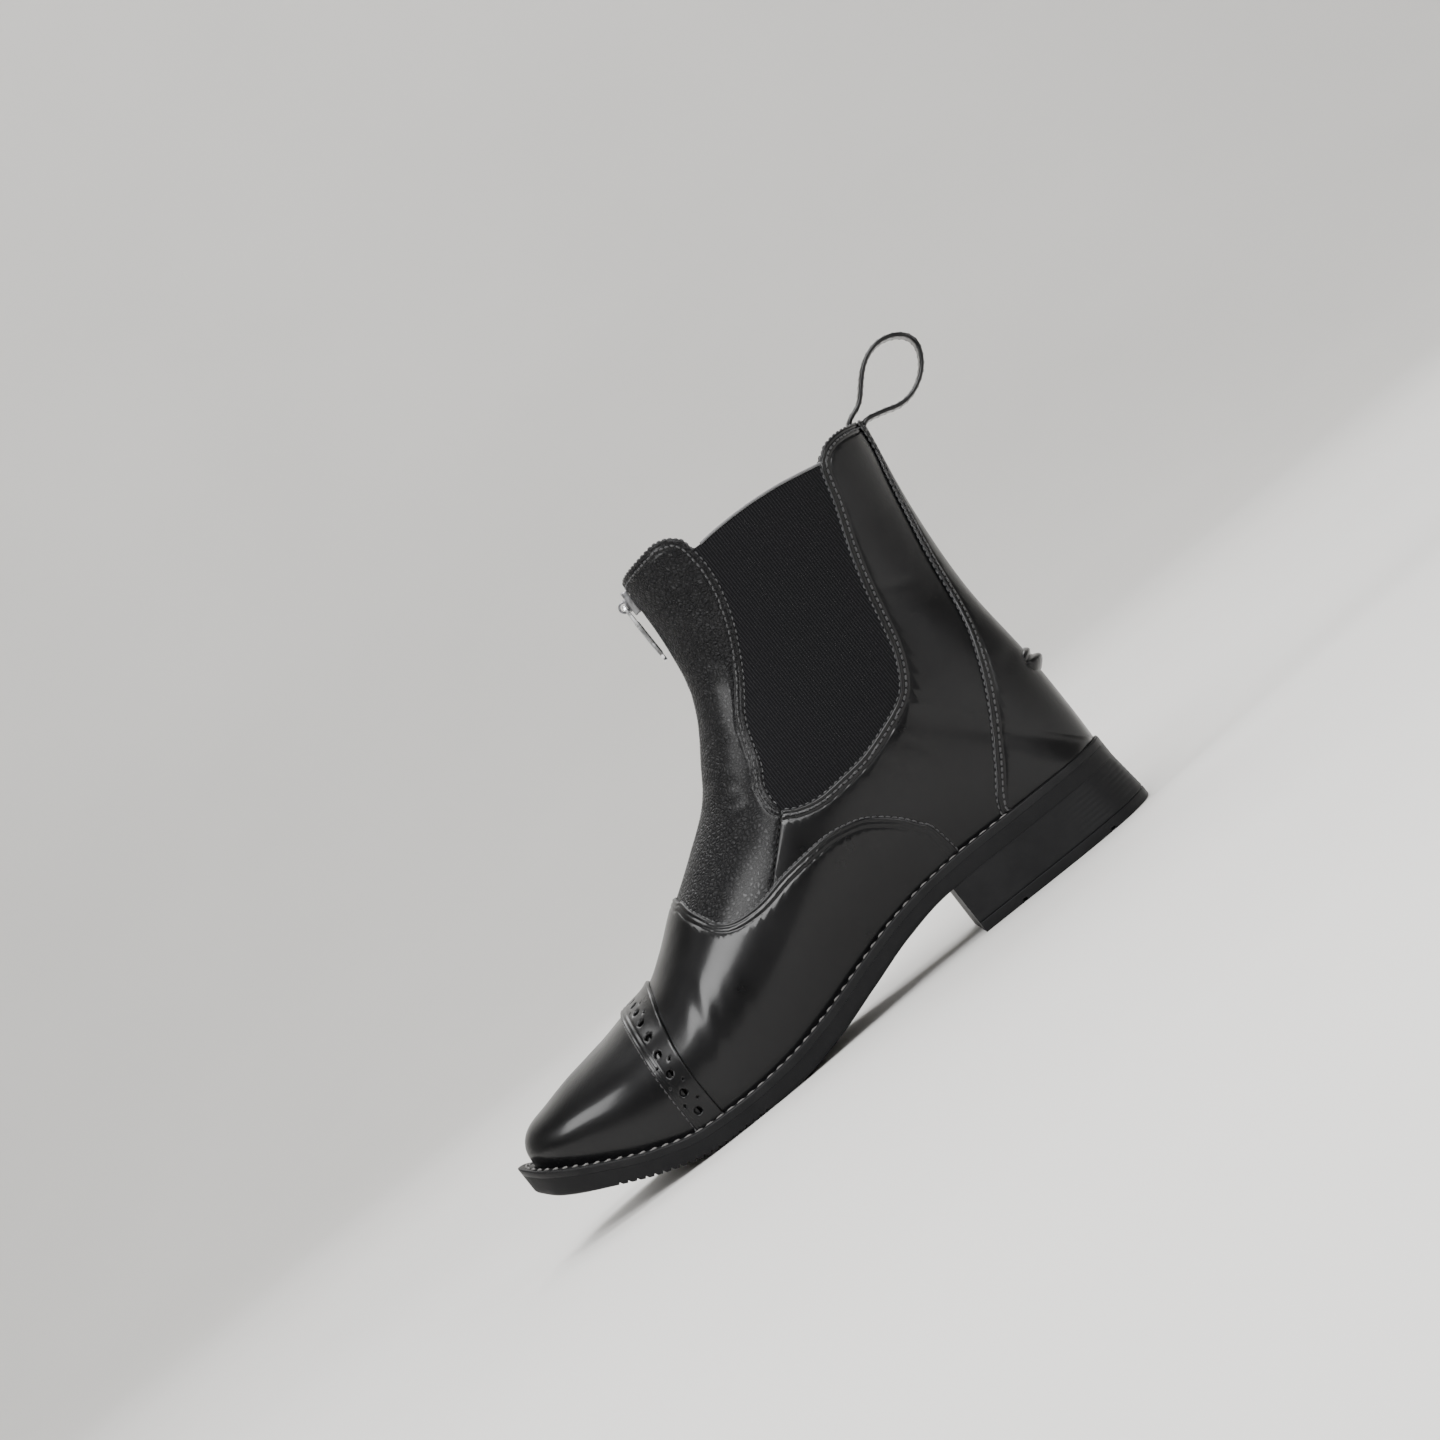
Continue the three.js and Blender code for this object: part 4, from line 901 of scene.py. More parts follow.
# quarters: gore bottom and rear, collar, then under the counter and the vamp
quarterTop = smoothLine(sidePoint([r[0] for r in goreLine[11:25]] + [r[0] for r in collarLine[13:]],
                                  [r[1] for r in goreLine[11:25]] + [r[1] for r in collarLine[13:]]), 8)
quarterOutline = np.concatenate([quarterTop, [[60, quarterTop[-1, 1]], [60, -60], [-46, -60]],
                                 sidePoint([0.33, 0.38, 0.44, 0.479], [0.10, 0.20, 0.24, 0.25]),
                                 seamEdge[::-1]])
goreRows = nearLine(quarterTop)
for name, sides in (("outer", [(-1, -0.05)]), ("inner", [(0.05, 1)])):
    made["quarter_" + name] = panel("quarter_" + name, (9.0, 23), sides, sideInside(quarterOutline), -thick,
                                    thick + 0.05, smoothLeather, rows=rowPair, rowEdge=goreRows, rim=0.7,
                                    creased=True)

# elastic gores under the leather edges
goreGrown = []
for i in range(len(goreEdge)):
    ahead, behind = goreEdge[min(i + 1, len(goreEdge) - 1)], goreEdge[max(i - 1, 0)]
    along = (ahead - behind) / max(np.linalg.norm(ahead - behind), 1e-9)
    goreGrown.append(goreEdge[i] + np.array([along[1], -along[0]]) * 2.6)
goreGrown = np.array(goreGrown)
goreOutline = np.concatenate([goreGrown, [[goreGrown[-1, 0], 260], [goreGrown[0, 0], 260]]])
for name, sides, node in (("outer", [(-1, -0.05)], "gore_outer"), ("inner", [(0.05, 1)], "gore_inner")):
    made[node] = panel("elastic_" + name, (9.0, 23), sides, sideInside(goreOutline, belowCollar),
                       panelSizes["goreTop"] - panelSizes["goreThickness"], panelSizes["goreThickness"],
                       elasticCloth, rim=0.5)

goreHole = np.concatenate([goreEdge, [[goreEdge[-1, 0], 260], [goreEdge[0, 0], 260]]])


def liningInside(points):
    place = points[:, [0, 2]]
    slot = np.where(points[:, 0] > xAt(0.60), np.abs(points[:, 1]) - panelSizes["slotHalf"], 9)
    slot = np.where(points[:, 0] > -60, 9, slot)
    return np.minimum.reduce([insideBy(place, belowCollar), -insideBy(place, goreHole), slot])


made["lining"] = panel("inner_lining", (0, 23), [(-1, 1)], liningInside, -panelSizes["wall"], 0.85, lining,
                       step=2.4, rim=0.4)
print("panels made")

for key, nodes in (("vamp", ("upper",)), ("cap_band", ("cap_band",)), ("heel_counter", ("heel_counter",)),
                   ("gore_outer", ("gore_outer",)), ("gore_inner", ("gore_inner",))):
    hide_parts(*nodes)

# stitches: one low arched bar of thread, repeated along lines on the leather

stitchShape = {"stations": [(-0.86, 0.72, -0.10), (-0.42, 1.0, 0.10), (0.42, 1.0, 0.10), (0.86, 0.72, -0.10)],
               "sides": 6}


def stitchMesh(length, width):
    points = [(-length / 2, 0, -0.22)]
    sides = stitchShape["sides"]
    for share, thick, lift in stitchShape["stations"]:
        for k in range(sides):
            turn = 2 * math.pi * k / sides
            points.append((share * length / 2, thick * width / 2 * math.cos(turn),
                           lift + thick * width / 2 * math.sin(turn)))
    points.append((length / 2, 0, -0.22))
    faces = []
    rings = len(stitchShape["stations"])
    at = lambda ring, k: 1 + ring * sides + k % sides
    for k in range(sides):
        faces.append((0, at(0, k), at(0, k + 1)))
        faces.append((len(points) - 1, at(rings - 1, k + 1), at(rings - 1, k)))
        for ring in range(rings - 1):
            faces.append((at(ring, k), at(ring + 1, k), at(ring + 1, k + 1)))
            faces.append((at(ring, k), at(ring + 1, k + 1), at(ring, k + 1)))
    return np.array(points), np.array(faces)


def sewn(name, places, material, length, width, lift=0.0):
    # places holds a centre, the run's direction and the surface's normal for each stitch
    shape, faces = stitchMesh(length, width)
    centres = np.array([p[0] for p in places])
    along = np.array([p[1] for p in places])
    up = np.array([p[2] for p in places])
    along -= up * (along * up).sum(1)[:, None]
    along /= np.linalg.norm(along, axis=1)[:, None]
    across = np.cross(up, along)
    points = (centres[:, None] + shape[None, :, 0, None] * along[:, None]
              + shape[None, :, 1, None] * across[:, None]
              + (shape[None, :, 2, None] + lift) * up[:, None]).reshape(-1, 3)
    every = (faces[None] + (np.arange(len(places)) * len(shape))[:, None, None]).reshape(-1, 3)
    print("  sewn", name, len(places), "stitches")
    return meshObject(name, points, every, material)


def evenly(line, pitch):
    run = runOf(line)
    count = max(int(run[-1] // pitch), 1)
    places = (np.arange(count) + 0.5) * run[-1] / count
    return np.stack([np.interp(places, run, line[:, k]) for k in range(3)], 1)


def rowOn(info, chooser, inset, pitch):
    # stitch places on a panel at one distance inside the chosen part of its rim
    places = []
    for loop in info["loops"]:
        picked = [chooser((loop[i] + loop[i + 1]) / 2) for i in range(len(loop) - 1)]
        if not any(picked):
            continue
        start = next((i for i in range(len(picked)) if picked[i] and not picked[i - 1]), 0)
        order = [(start + i) % len(picked) for i in range(len(picked))]
        runs, run = [], []
        for i in order:
            if picked[i]:
                run = run or [loop[i]]
                run.append(loop[i + 1])
            elif run:
                runs.append(np.array(run))
                run = []
        if run:
            runs.append(np.array(run))
        for run in runs:
            if np.linalg.norm(np.diff(run, axis=0), axis=1).sum() < 3 * pitch:
                continue
            line = evenly(run, 1.0)
            for _ in range(3):
                line[1:-1] = (line[:-2] + 2 * line[1:-1] + line[2:]) / 4
            along = np.gradient(line, axis=0)
            along /= np.maximum(np.linalg.norm(along, axis=1)[:, None], 1e-9)
            tries = []
            for hand in (-1, 1):
                # of the two sides of the rim, the one that stays on the panel
                moved, gaps = [], 0
                for point, way in zip(line, along):
                    spot, normal, _, _ = info["tree"].find_nearest(Vector(point))
                    inward = np.cross(np.array(normal), way)
                    moved.append(point + inward / max(np.linalg.norm(inward), 1e-9) * inset * hand)
                    gaps += info["tree"].find_nearest(Vector(moved[-1]))[3]
                tries.append((gaps, hand, moved))
            moved = evenly(np.array(min(tries)[2]), pitch)
            if len(moved) < 3:
                continue
            way = np.gradient(moved, axis=0)
            for point, direction in zip(moved, way):
                spot, normal, _, gap = info["tree"].find_nearest(Vector(point))
                if gap < 3:
                    places.append((np.array(spot), direction, np.array(normal)))
    return places


threads = {"pitch": 2.5, "length": 2.0, "width": 0.72}
besideZip = lambda p: abs(abs(p[1]) - panelSizes["slotHalf"]) < 0.25 and p[0] > xAt(0.605) and p[2] > 60
tabOnly = lambda p: tabRows(p) and abs(p[1]) > 6
quarterOnly = lambda p: goreRows(p) and p[0] < 41
rows = {
    # the panels, the part of the rim that the rows follow, and the rows' distances from it
    "vamp_stitches": (["vamp"], vampRows, (1.5, 3.6)),
    "band_stitches": (["cap_band"], nearLine(bandFrontLine), (1.3, 3.1)),
    "counter_stitches": (["heel_counter"], nearLine(counterEdge, 1.4), (1.5, 3.5)),
    "tab_stitches": (["zip_panel_outer", "zip_panel_inner"], tabOnly, (1.5, 3.6)),
    "zip_stitches": (["zip_panel_outer", "zip_panel_inner"], besideZip, (2.4,)),
    "quarter_stitches": (["quarter_outer", "quarter_inner"], quarterOnly, (1.5, 3.6)),
    "seam_stitches": (["quarter_outer", "quarter_inner"], nearLine(seamEdge), (1.2,)),
}
for name, (panels, chooser, insets) in rows.items():
    places = []
    for key in panels:
        for inset in insets:
            places += rowOn(made[key], chooser, inset, threads["pitch"])
    if places:
        sewn(name, places, blackThread, threads["length"], threads["width"])
print("stitches sewn")

# sole, welt and heel as rings round the last's seat


def evenTurns(start, grow, pitch):
    # section numbers from start to the back, evenly spaced along the edge
    t = np.linspace(start, backSeam, 1600)
    out = np.full(len(t), float(grow))
    run = [runOf(seatEdge(t, np.full(len(t), side), out)) for side in (-1.0, 1.0)]
    mean = (run[0] + run[1]) / 2
    return np.interp(np.linspace(0, mean[-1], max(int(mean[-1] / pitch), 8)), mean, t)


def ringAt(turns, grow, height):
    loop = []
    for side, order in ((-1.0, turns), (1.0, turns[::-1])):
        at = sections(order)[:, 2]
        out = grow(at) if callable(grow) else np.full(len(order), float(grow))
        edge = seatEdge(order, np.full(len(order), side), out)
        z = height(atX(edge[:, 0]))
        loop.append(np.stack([edge[:, 0], edge[:, 1], np.broadcast_to(z, len(order))], 1))
    return np.concatenate(loop)


def loft(rings, closed=False):
    count = len(rings[0])
    half = count // 2
    points = np.concatenate(rings)
    faces = []
    spans = len(rings) if closed else len(rings) - 1
    for k in range(spans):
        low, high = k * count, ((k + 1) % len(rings)) * count
        for j in range(count):
            n = (j + 1) % count
            faces.append((low + j, high + j, high + n, low + n))
    if not closed:
        top = (len(rings) - 1) * count
        for j in range(half - 1):
            faces.append((j, j + 1, count - 2 - j, count - 1 - j))
            faces.append((top + j + 1, top + j, top + count - 1 - j, top + count - 2 - j))
    return points, faces


def pick(*pieces):
    bpy.ops.object.select_all(action="DESELECT")
    for piece in pieces:
        piece.select_set(True)
    bpy.context.view_layer.objects.active = pieces[0]


def crisp(piece, angle):
    pick(piece)
    bpy.ops.object.shade_smooth_by_angle(angle=math.radians(angle))


def cutBy(piece, cutter):
    pick(piece)
    modifier = piece.modifiers.new("cut", "BOOLEAN")
    modifier.operation, modifier.solver, modifier.object = "DIFFERENCE", "EXACT", cutter
    bpy.ops.object.modifier_apply(modifier="cut")
    bpy.data.objects.remove(cutter)


def cleaned(piece, sharp=None):
    # doubles merged, faces outward, edges sharper than the angle kept crisp
    pick(piece)
    bpy.ops.object.mode_set(mode="EDIT")
    bpy.ops.mesh.select_all(action="SELECT")
    bpy.ops.mesh.remove_doubles(threshold=0.00001)
    bpy.ops.mesh.normals_make_consistent(inside=False)
    bpy.ops.object.mode_set(mode="OBJECT")
    if sharp:
        bpy.ops.object.shade_smooth_by_angle(angle=math.radians(sharp))
    return piece


sole = {"pitch": 2.2, "gap": 0.02, "edge": 1.2, "lap": 6.0, "rounding": 5,
        "tooth": 3.1, "toothDepth": 1.3, "toothFrom": 0.662, "toothTo": 0.895}
turns = evenTurns(0, 5.0, sole["pitch"])
roundSteps = [math.pi / 2 * k / sole["rounding"] for k in range(sole["rounding"] + 1)]
edgeAt = lambda at: 0.1 + (sole["edge"] - 0.1) * smoothStep(at, 0.28, 0.34)
ledge = lambda at: weltTop(at) - lastSizes["weltThickness"] - sole["gap"]
rings = [ringAt(turns, -8.0, soleBottom)]
for turn in roundSteps:
    rings.append(ringAt(turns, lambda at, turn=turn: margin(at) - edgeAt(at) * (1 - math.sin(turn)),
                        lambda at, turn=turn: soleBottom(at) + edgeAt(at) * (1 - math.cos(turn))))
for share in (0.35, 0.7):
    rings.append(ringAt(turns, margin, lambda at, share=share: soleBottom(at) + sole["edge"]
                        + share * (ledge(at) - soleBottom(at) - sole["edge"])))
rings.append(ringAt(turns, margin, lambda at: ledge(at) - 0.06))
rings.append(ringAt(turns, lambda at: margin(at) - 0.06, ledge))
rings.append(ringAt(turns, -sole["lap"] - sole["gap"], ledge))
rings.append(ringAt(turns, -sole["lap"] - sole["gap"], lambda at: weltTop(at) - sole["gap"]))
points, faces = loft(rings)
outsole = cleaned(meshObject("outsole_rubber", points, faces, soleRubber))


def acrossBar(outline, yLow=-60, yHigh=60):
    # a bar across the boot from a side-view outline, to cut with
    n = len(outline)
    points = [(x, yLow, z) for x, z in outline] + [(x, yHigh, z) for x, z in outline]
    faces = [tuple(range(n))[::-1], tuple(range(n, 2 * n))]
    faces += [(i, (i + 1) % n, n + (i + 1) % n, n + i) for i in range(n)]
    return points, faces


def cutFrom(piece, bars):
    points, faces = [], []
    for barPoints, barFaces in bars:
        faces += [tuple(i + len(points) for i in f) for f in barFaces]
        points += barPoints
    mesh = bpy.data.meshes.new("cutter")
    mesh.from_pydata([tuple(v * mm for v in p) for p in points], [], faces)
    cutter = bpy.data.objects.new("cutter", mesh)
    bpy.context.scene.collection.objects.link(cutter)
    cutBy(piece, cleaned(cutter))


bars = []
teeth = int((sole["toothTo"] - sole["toothFrom"]) * lastSizes["soleLength"] / sole["tooth"])
for i in range(teeth):
    start = float(xAt(sole["toothFrom"])) - i * sole["tooth"]
    peak, end = start - sole["tooth"] * 0.3, start - sole["tooth"] * 0.62
    low = lambda x, lift: float(soleBottom(atX(np.array(x)))) + lift
    bars.append(acrossBar([(start, low(start, -0.4)), (peak, low(peak, sole["toothDepth"])),
                           (end, low(end, -0.4))]))
cutFrom(outsole, bars)
crisp(outsole, 35)
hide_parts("outsole")

welting = {"lap": 6.0, "round": 0.9, "channelDepth": 0.45, "channelHalf": 0.75, "channelFloor": 0.35,
           "inner": 1.1, "stitchPitch": 4.7, "stitchesFrom": 0.17}
weltUpper = lambda at: weltTop(at) - sole["gap"]
rings = [ringAt(turns, -welting["lap"], lambda at: weltTop(at) - lastSizes["weltThickness"]),
         ringAt(turns, lambda at: margin(at) - 0.06, lambda at: weltTop(at) - lastSizes["weltThickness"]),
         ringAt(turns, margin, lambda at: weltTop(at) - lastSizes["weltThickness"] + 0.06)]
for turn in roundSteps:
    rings.append(ringAt(turns, lambda at, turn=turn: margin(at) - welting["round"] * (1 - math.cos(turn)),
                        lambda at, turn=turn: weltUpper(at) - welting["round"] * (1 - math.sin(turn))))
seam = lambda at: welting["inner"] + 0.5 * (margin(at) - welting["inner"])
half, flat, deep = welting["channelHalf"], welting["channelFloor"], welting["channelDepth"]
for out, drop in ((half, 0), (flat, deep), (-flat, deep), (-half, 0)):
    rings.append(ringAt(turns, lambda at, out=out: seam(at) + out,
                        lambda at, drop=drop: weltUpper(at) - drop))
rings.append(ringAt(turns, welting["inner"], weltUpper))
rings.append(ringAt(turns, -welting["lap"], weltUpper))
points, faces = loft(rings, closed=True)
welt = cleaned(meshObject("welt_strip", points, faces, weltRubber), 40)
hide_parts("welt")

seamLine = ringAt(evenTurns(0, 2.5, 1.2), seam, lambda at: weltUpper(at) - 0.32)
spots = evenly(np.concatenate([seamLine, seamLine[:1]]), welting["stitchPitch"])
way = np.gradient(spots, axis=0)
places = [(p, w, np.array((0.0, 0.0, 1.0))) for p, w in zip(spots, way)
          if p[0] < xAt(welting["stitchesFrom"])]
sewn("welt_stitches", places, weltThread, 4.0, 1.05, 0.12)

heelSizes = {"flare": 1.6, "lift": 4.1, "ribs": 7, "ribPitch": 1.9, "ribDepth": 0.08,
             "ribsFade": (0.06, 0.15), "edge": 0.6, "liftRounding": 0.45, "grooves": (0.25, 0.77)}
low, high = 0.0, float(backSeam)
for _ in range(40):
    mid = (low + high) / 2
    if sections(np.array(mid))[2] > lastSizes["heelLength"] / lastSizes["soleLength"]:
        low = mid
    else:
        high = mid
heelTurns = evenTurns(low, 3.0, 1.8)
bottom = heelSizes["lift"] + sole["gap"]
seatUnder = lambda at: soleBottom(at) - sole["gap"]
tall = float(seatUnder(np.array(0.0))) - bottom
flareAt = lambda share: lastSizes["heelMargin"] + heelSizes["flare"] * (1 - share)
rings = []
levels = 64
for k in range(levels + 1):
    share = k / levels
    height = share * tall
    ribPlace = (height - (tall - heelSizes["ribs"] * heelSizes["ribPitch"]) / 2) / heelSizes["ribPitch"]
    dent = 0.0
    if 0 < ribPlace < heelSizes["ribs"]:
        dent = heelSizes["ribDepth"] * max(0.0, math.sin(math.pi * (ribPlace % 1.0))) ** 3
    edge = heelSizes["edge"] * max(0.0, 1 - height / heelSizes["edge"]) ** 2
    rings.append(ringAt(heelTurns, lambda at, share=share, dent=dent, edge=edge:
                        flareAt(share) - edge * 0.6 - dent * (1 - smoothStep(at, *heelSizes["ribsFade"])),
                        lambda at, share=share: bottom + share * (seatUnder(at) - bottom)))
points, faces = loft(rings)
heel = cleaned(meshObject("heel_rubber", points, faces, heelRubber), 40)
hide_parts("heel_block")

rings = []
for turn in roundSteps:
    rings.append(ringAt(heelTurns, flareAt(0) - heelSizes["edge"] * (1 - math.sin(turn)),
                        lambda at, turn=turn: np.full(len(at), heelSizes["edge"] * (1 - math.cos(turn)))))
for turn in roundSteps:
    drop = heelSizes["liftRounding"]
    rings.append(ringAt(heelTurns, flareAt(0) - drop * (1 - math.cos(turn)), lambda at, turn=turn:
                        np.full(len(at), heelSizes["lift"] - drop * (1 - math.sin(turn)))))
points, faces = loft(rings)
topLift = cleaned(meshObject("lift_rubber", points, faces, soleRubber))
bars = []
for share in heelSizes["grooves"]:
    x = heelBack - lastSizes["heelLength"] * share
    bars.append(acrossBar([(x - 1, -0.5), (x + 1, -0.5), (x + 1, 1.2), (x - 1, 1.2)]))
cutFrom(topLift, bars)
crisp(topLift, 40)
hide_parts("top_lift")

# footbed, a thin padded sheet inside
bed = {"inset": 3.4, "thickness": 2.6, "columns": 14}
bedTurns = evenTurns(0.02, -3.4, 3.0)
share = np.linspace(0, 1, bed["columns"] + 1)
left = seatEdge(bedTurns, np.full(len(bedTurns), -1.0), np.full(len(bedTurns), -bed["inset"]))
right = seatEdge(bedTurns, np.full(len(bedTurns), 1.0), np.full(len(bedTurns), -bed["inset"]))
flat = left[:, None] * (1 - share)[None, :, None] + right[:, None] * share[None, :, None]
edgeDrop = 0.9 * (np.abs(2 * share - 1) ** 8)[None, :] * np.ones(len(bedTurns))[:, None]
z = weltTop(atX(flat[..., 0]))
top = np.concatenate([flat, (z + bed["thickness"] - edgeDrop)[..., None]], -1).reshape(-1, 3)
under = np.concatenate([flat, z[..., None]], -1).reshape(-1, 3)
n, m = flat.shape[:2]
at = lambda i, j: i * m + j
faces = []
for i in range(n - 1):
    for j in range(m - 1):
        faces.append((at(i, j), at(i, j + 1), at(i + 1, j + 1), at(i + 1, j)))
        faces.append(tuple(n * m + k for k in (at(i, j), at(i + 1, j), at(i + 1, j + 1), at(i, j + 1))))
for i in range(n - 1):
    for j, flip in ((0, False), (m - 1, True)):
        a, b = at(i, j), at(i + 1, j)
        faces.append((a, b, b + n * m, a + n * m) if not flip else (b, a, a + n * m, b + n * m))
for j in range(m - 1):
    for i, flip in ((0, True), (n - 1, False)):
        a, b = at(i, j), at(i, j + 1)
        faces.append((a, b, b + n * m, a + n * m) if not flip else (b, a, a + n * m, b + n * m))
footbed = cleaned(meshObject("footbed", np.concatenate([top, under]), faces, lining))
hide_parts("insole")
print("sole made")

# zip: woven tape and two rows of teeth that lock in the middle
zipSizes = {"from": 77.5, "to": 181.6, "tapeIn": 0.7, "tapeOut": 4.9, "tapeTop": -1.35, "tapeUnder": -1.95,
            "pitch": 2.1, "toothLength": 1.15, "toothReach": 2.9, "toothHeight": 1.5, "toothLevel": -1.15,
            "teethTo": 177.0, "bend": 22.0}
ridgeTurns = np.linspace(8.5, topSection, 3000)
ridge, ridgeOut = skinAndNormal(ridgeTurns, np.zeros(3000), np.full(3000, -1.0))
onZip = (ridge[:, 2] > zipSizes["from"]) & (ridge[:, 2] < zipSizes["to"])
ridge, ridgeOut = ridge[onZip], ridgeOut[onZip]
ridge[:, 1] = 0


def alongRidge(pitch):
    run = runOf(ridge)
    places = np.arange(0, run[-1], pitch)
    spots = np.stack([np.interp(places, run, ridge[:, k]) for k in range(3)], 1)
    outs = np.stack([np.interp(places, run, ridgeOut[:, k]) for k in range(3)], 1)
    outs[:, 1] = 0
    return spots, outs / np.linalg.norm(outs, axis=1)[:, None]


def sweptFaces(rings, count):
    faces = [tuple(range(count))[::-1], tuple((rings - 1) * count + k for k in range(count))]
    for i in range(rings - 1):
        low, high = i * count, (i + 1) * count
        faces += [(low + k, low + (k + 1) % count, high + (k + 1) % count, high + k) for k in range(count)]
    return faces


spots, outs = alongRidge(1.5)
for name, hand in (("outer", -1), ("inner", 1)):
    near, far, over, under = (zipSizes[key] for key in ("tapeIn", "tapeOut", "tapeTop", "tapeUnder"))
    shape = [(near, under), (near - 0.15, (under + over) / 2), (near, over), (2.1, over), (3.5, over),
             (far, over), (far, under), (2.8, under)]
    points = [spot + out * (h - y * y / (2 * zipSizes["bend"])) + np.array((0, hand * y, 0))
              for spot, out in zip(spots, outs) for y, h in shape]
    tape = cleaned(meshObject("zip_tape_" + name, points, sweptFaces(len(spots), len(shape)), zipTape), 50)


def block(name, centre, size, bevel, segments, material):
    # a cube at its size and place with bevelled edges
    bpy.ops.object.select_all(action="DESELECT")
    bpy.ops.mesh.primitive_cube_add(size=1, location=[v * mm for v in centre], scale=[v * mm for v in size])
    piece = bpy.context.active_object
    piece.name = name
    bpy.ops.object.transform_apply(location=True, rotation=True, scale=True)
    bpy.ops.object.mode_set(mode="EDIT")
    bpy.ops.mesh.select_all(action="SELECT")
    bpy.ops.mesh.bevel(offset=bevel * mm, segments=segments, affect="EDGES")
    bpy.ops.object.mode_set(mode="OBJECT")
    piece.data.materials.append(material)
    return piece


def shapeOf(piece):
    points = np.array([v.co[:] for v in piece.data.vertices]) / mm
    faces = [tuple(f.vertices) for f in piece.data.polygons]
    bpy.data.objects.remove(piece)
    return points, faces


# x runs out of the boot, y across, z up the zip
toothSize = (zipSizes["toothHeight"], zipSizes["toothReach"], zipSizes["toothLength"])
tooth, toothFaces = shapeOf(block("tooth", (0, toothSize[1] / 2 - 0.65, 0), toothSize, 0.28, 1, darkMetal))
tooth[:, 2] *= np.where(tooth[:, 1] < 0.4, 1.18, 1)
tooth[:, 0] *= np.where(tooth[:, 1] > 1.2, 0.8, 1)
points, faces = [], []
for hand, start in ((-1, 0.0), (1, 0.5)):
    spots, outs = alongRidge(zipSizes["pitch"] / 2)
    for k in range(int(start * 2), len(spots), 2):
        if spots[k, 2] > zipSizes["teethTo"]:
            continue
        upward = np.array((outs[k, 2], 0, -outs[k, 0]))
        faces += [tuple(i + len(points) for i in (f if hand > 0 else f[::-1])) for f in toothFaces]
        points += list(spots[k] + outs[k] * (tooth[:, 0:1] + zipSizes["toothLevel"])
                       + np.array((0, hand, 0)) * tooth[:, 1:2] + upward * tooth[:, 2:3])
teeth = cleaned(meshObject("zip_teeth", points, faces, darkMetal, smooth=False), 35)
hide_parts("zip_chain")
stops = []
spots, outs = alongRidge(0.5)
top = next(i for i in range(len(spots)) if spots[i, 2] > 179.4)
for hand in (-1, 1):
    centre = spots[top] + outs[top] * -1.1 + np.array((0, hand * 1.6, 0))
    stops.append(block("stop", centre, (1.7, 1.5, 2.2), 0.35, 2, darkMetal))

# slider: shield plate, two side flanges and the eye that holds the pull
slider = {"spot": (-64.449, 0, 174.754), "lean": 2.1, "size": (1.1, 8.4, 10), "flange": (2.2, 0.9, 9.4),
          "ring": 1.95, "wire": 0.45, "ringOut": 4.4}
parts = [block("zip_slider_body", (-2.35, 0, 0), slider["size"], 0.45, 3, darkMetal),
         block("post", (-2.95, 0, 0), (1.3, 2.3, 5.6), 0.5, 3, darkMetal)]
for hand in (-1, 1):
    parts.append(block("flange", (-1.4, hand * 3.75, 0), slider["flange"], 0.3, 2, darkMetal))
for part in parts:
    for v in part.data.vertices:
        share = min(max((2.0 - v.co.z / mm) / 7.0, 0), 1)
        v.co.y *= 1 - 0.26 * share
        v.co.x += 0.25 * mm * (v.co.z / mm / 5) ** 2
bpy.ops.object.select_all(action="DESELECT")
bpy.ops.mesh.primitive_torus_add(location=(-slider["ringOut"] * mm, 0, 0), rotation=(math.pi / 2, 0, 0),
                                 major_radius=slider["ring"] * mm, minor_radius=slider["wire"] * mm,
                                 major_segments=32, minor_segments=12)
ring = bpy.context.active_object
ring.scale = (1, 1, 2.5)
bpy.ops.object.transform_apply(location=True, rotation=True, scale=True)
ring.data.materials.append(darkMetal)
parts.append(ring)
turn = Matrix.Translation(Vector(slider["spot"]) * mm) @ Matrix.Rotation(math.radians(slider["lean"]), 4, "Y")
for part in parts:
    part.data.transform(turn)
pick(*parts, *stops)
bpy.ops.object.join()
sliderBody = cleaned(parts[0], 40)
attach(sliderBody, "boot")
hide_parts("zip_slider")

# pull: waisted plate with a window for the eye and a bead down the middle
pull = {"pivot": (-68.846, 0, 174.914), "thickness": 1.4, "bevel": 0.35}
# height from the pivot and half width
halves = [(0.70, 1.5), (0.45, 2.2), (-0.6, 2.75), (-3.0, 2.9), (-6.0, 2.65), (-9.0, 2.5), (-13.0, 2.7),
          (-17.5, 3.1), (-21.5, 3.45), (-23.4, 3.25), (-24.5, 2.4), (-24.95, 1.1)]
side = smoothLine([(w, z) for z, w in halves], 3)
outline = np.concatenate([side, (side * np.array((-1, 1)))[::-1]])
mesh = bpy.data.meshes.new("zip_pull_tab")
px, _, pz = pull["pivot"]
back = px - pull["thickness"] / 2
mesh.from_pydata([(back * mm, y * mm, (pz + z) * mm) for y, z in outline], [], [tuple(range(len(outline)))])
pullTab = bpy.data.objects.new("zip_pull_tab", mesh)
bpy.context.scene.collection.objects.link(pullTab)
mesh.materials.append(brightMetal)
pick(pullTab)
bpy.ops.object.mode_set(mode="EDIT")
bpy.ops.mesh.select_all(action="SELECT")
bpy.ops.mesh.extrude_region_move(TRANSFORM_OT_translate={"value": (pull["thickness"] * mm, 0, 0)})
bpy.ops.mesh.select_all(action="SELECT")
bpy.ops.mesh.normals_make_consistent(inside=False)
bpy.ops.object.mode_set(mode="OBJECT")
cutBy(pullTab, block("window", (px, 0, pz - 2.75), (4, 3.0, 4.1), 0.5, 2, brightMetal))
edges = pullTab.modifiers.new("edges", "BEVEL")
edges.width, edges.segments = pull["bevel"] * mm, 3
edges.limit_method, edges.angle_limit = "ANGLE", math.radians(50)
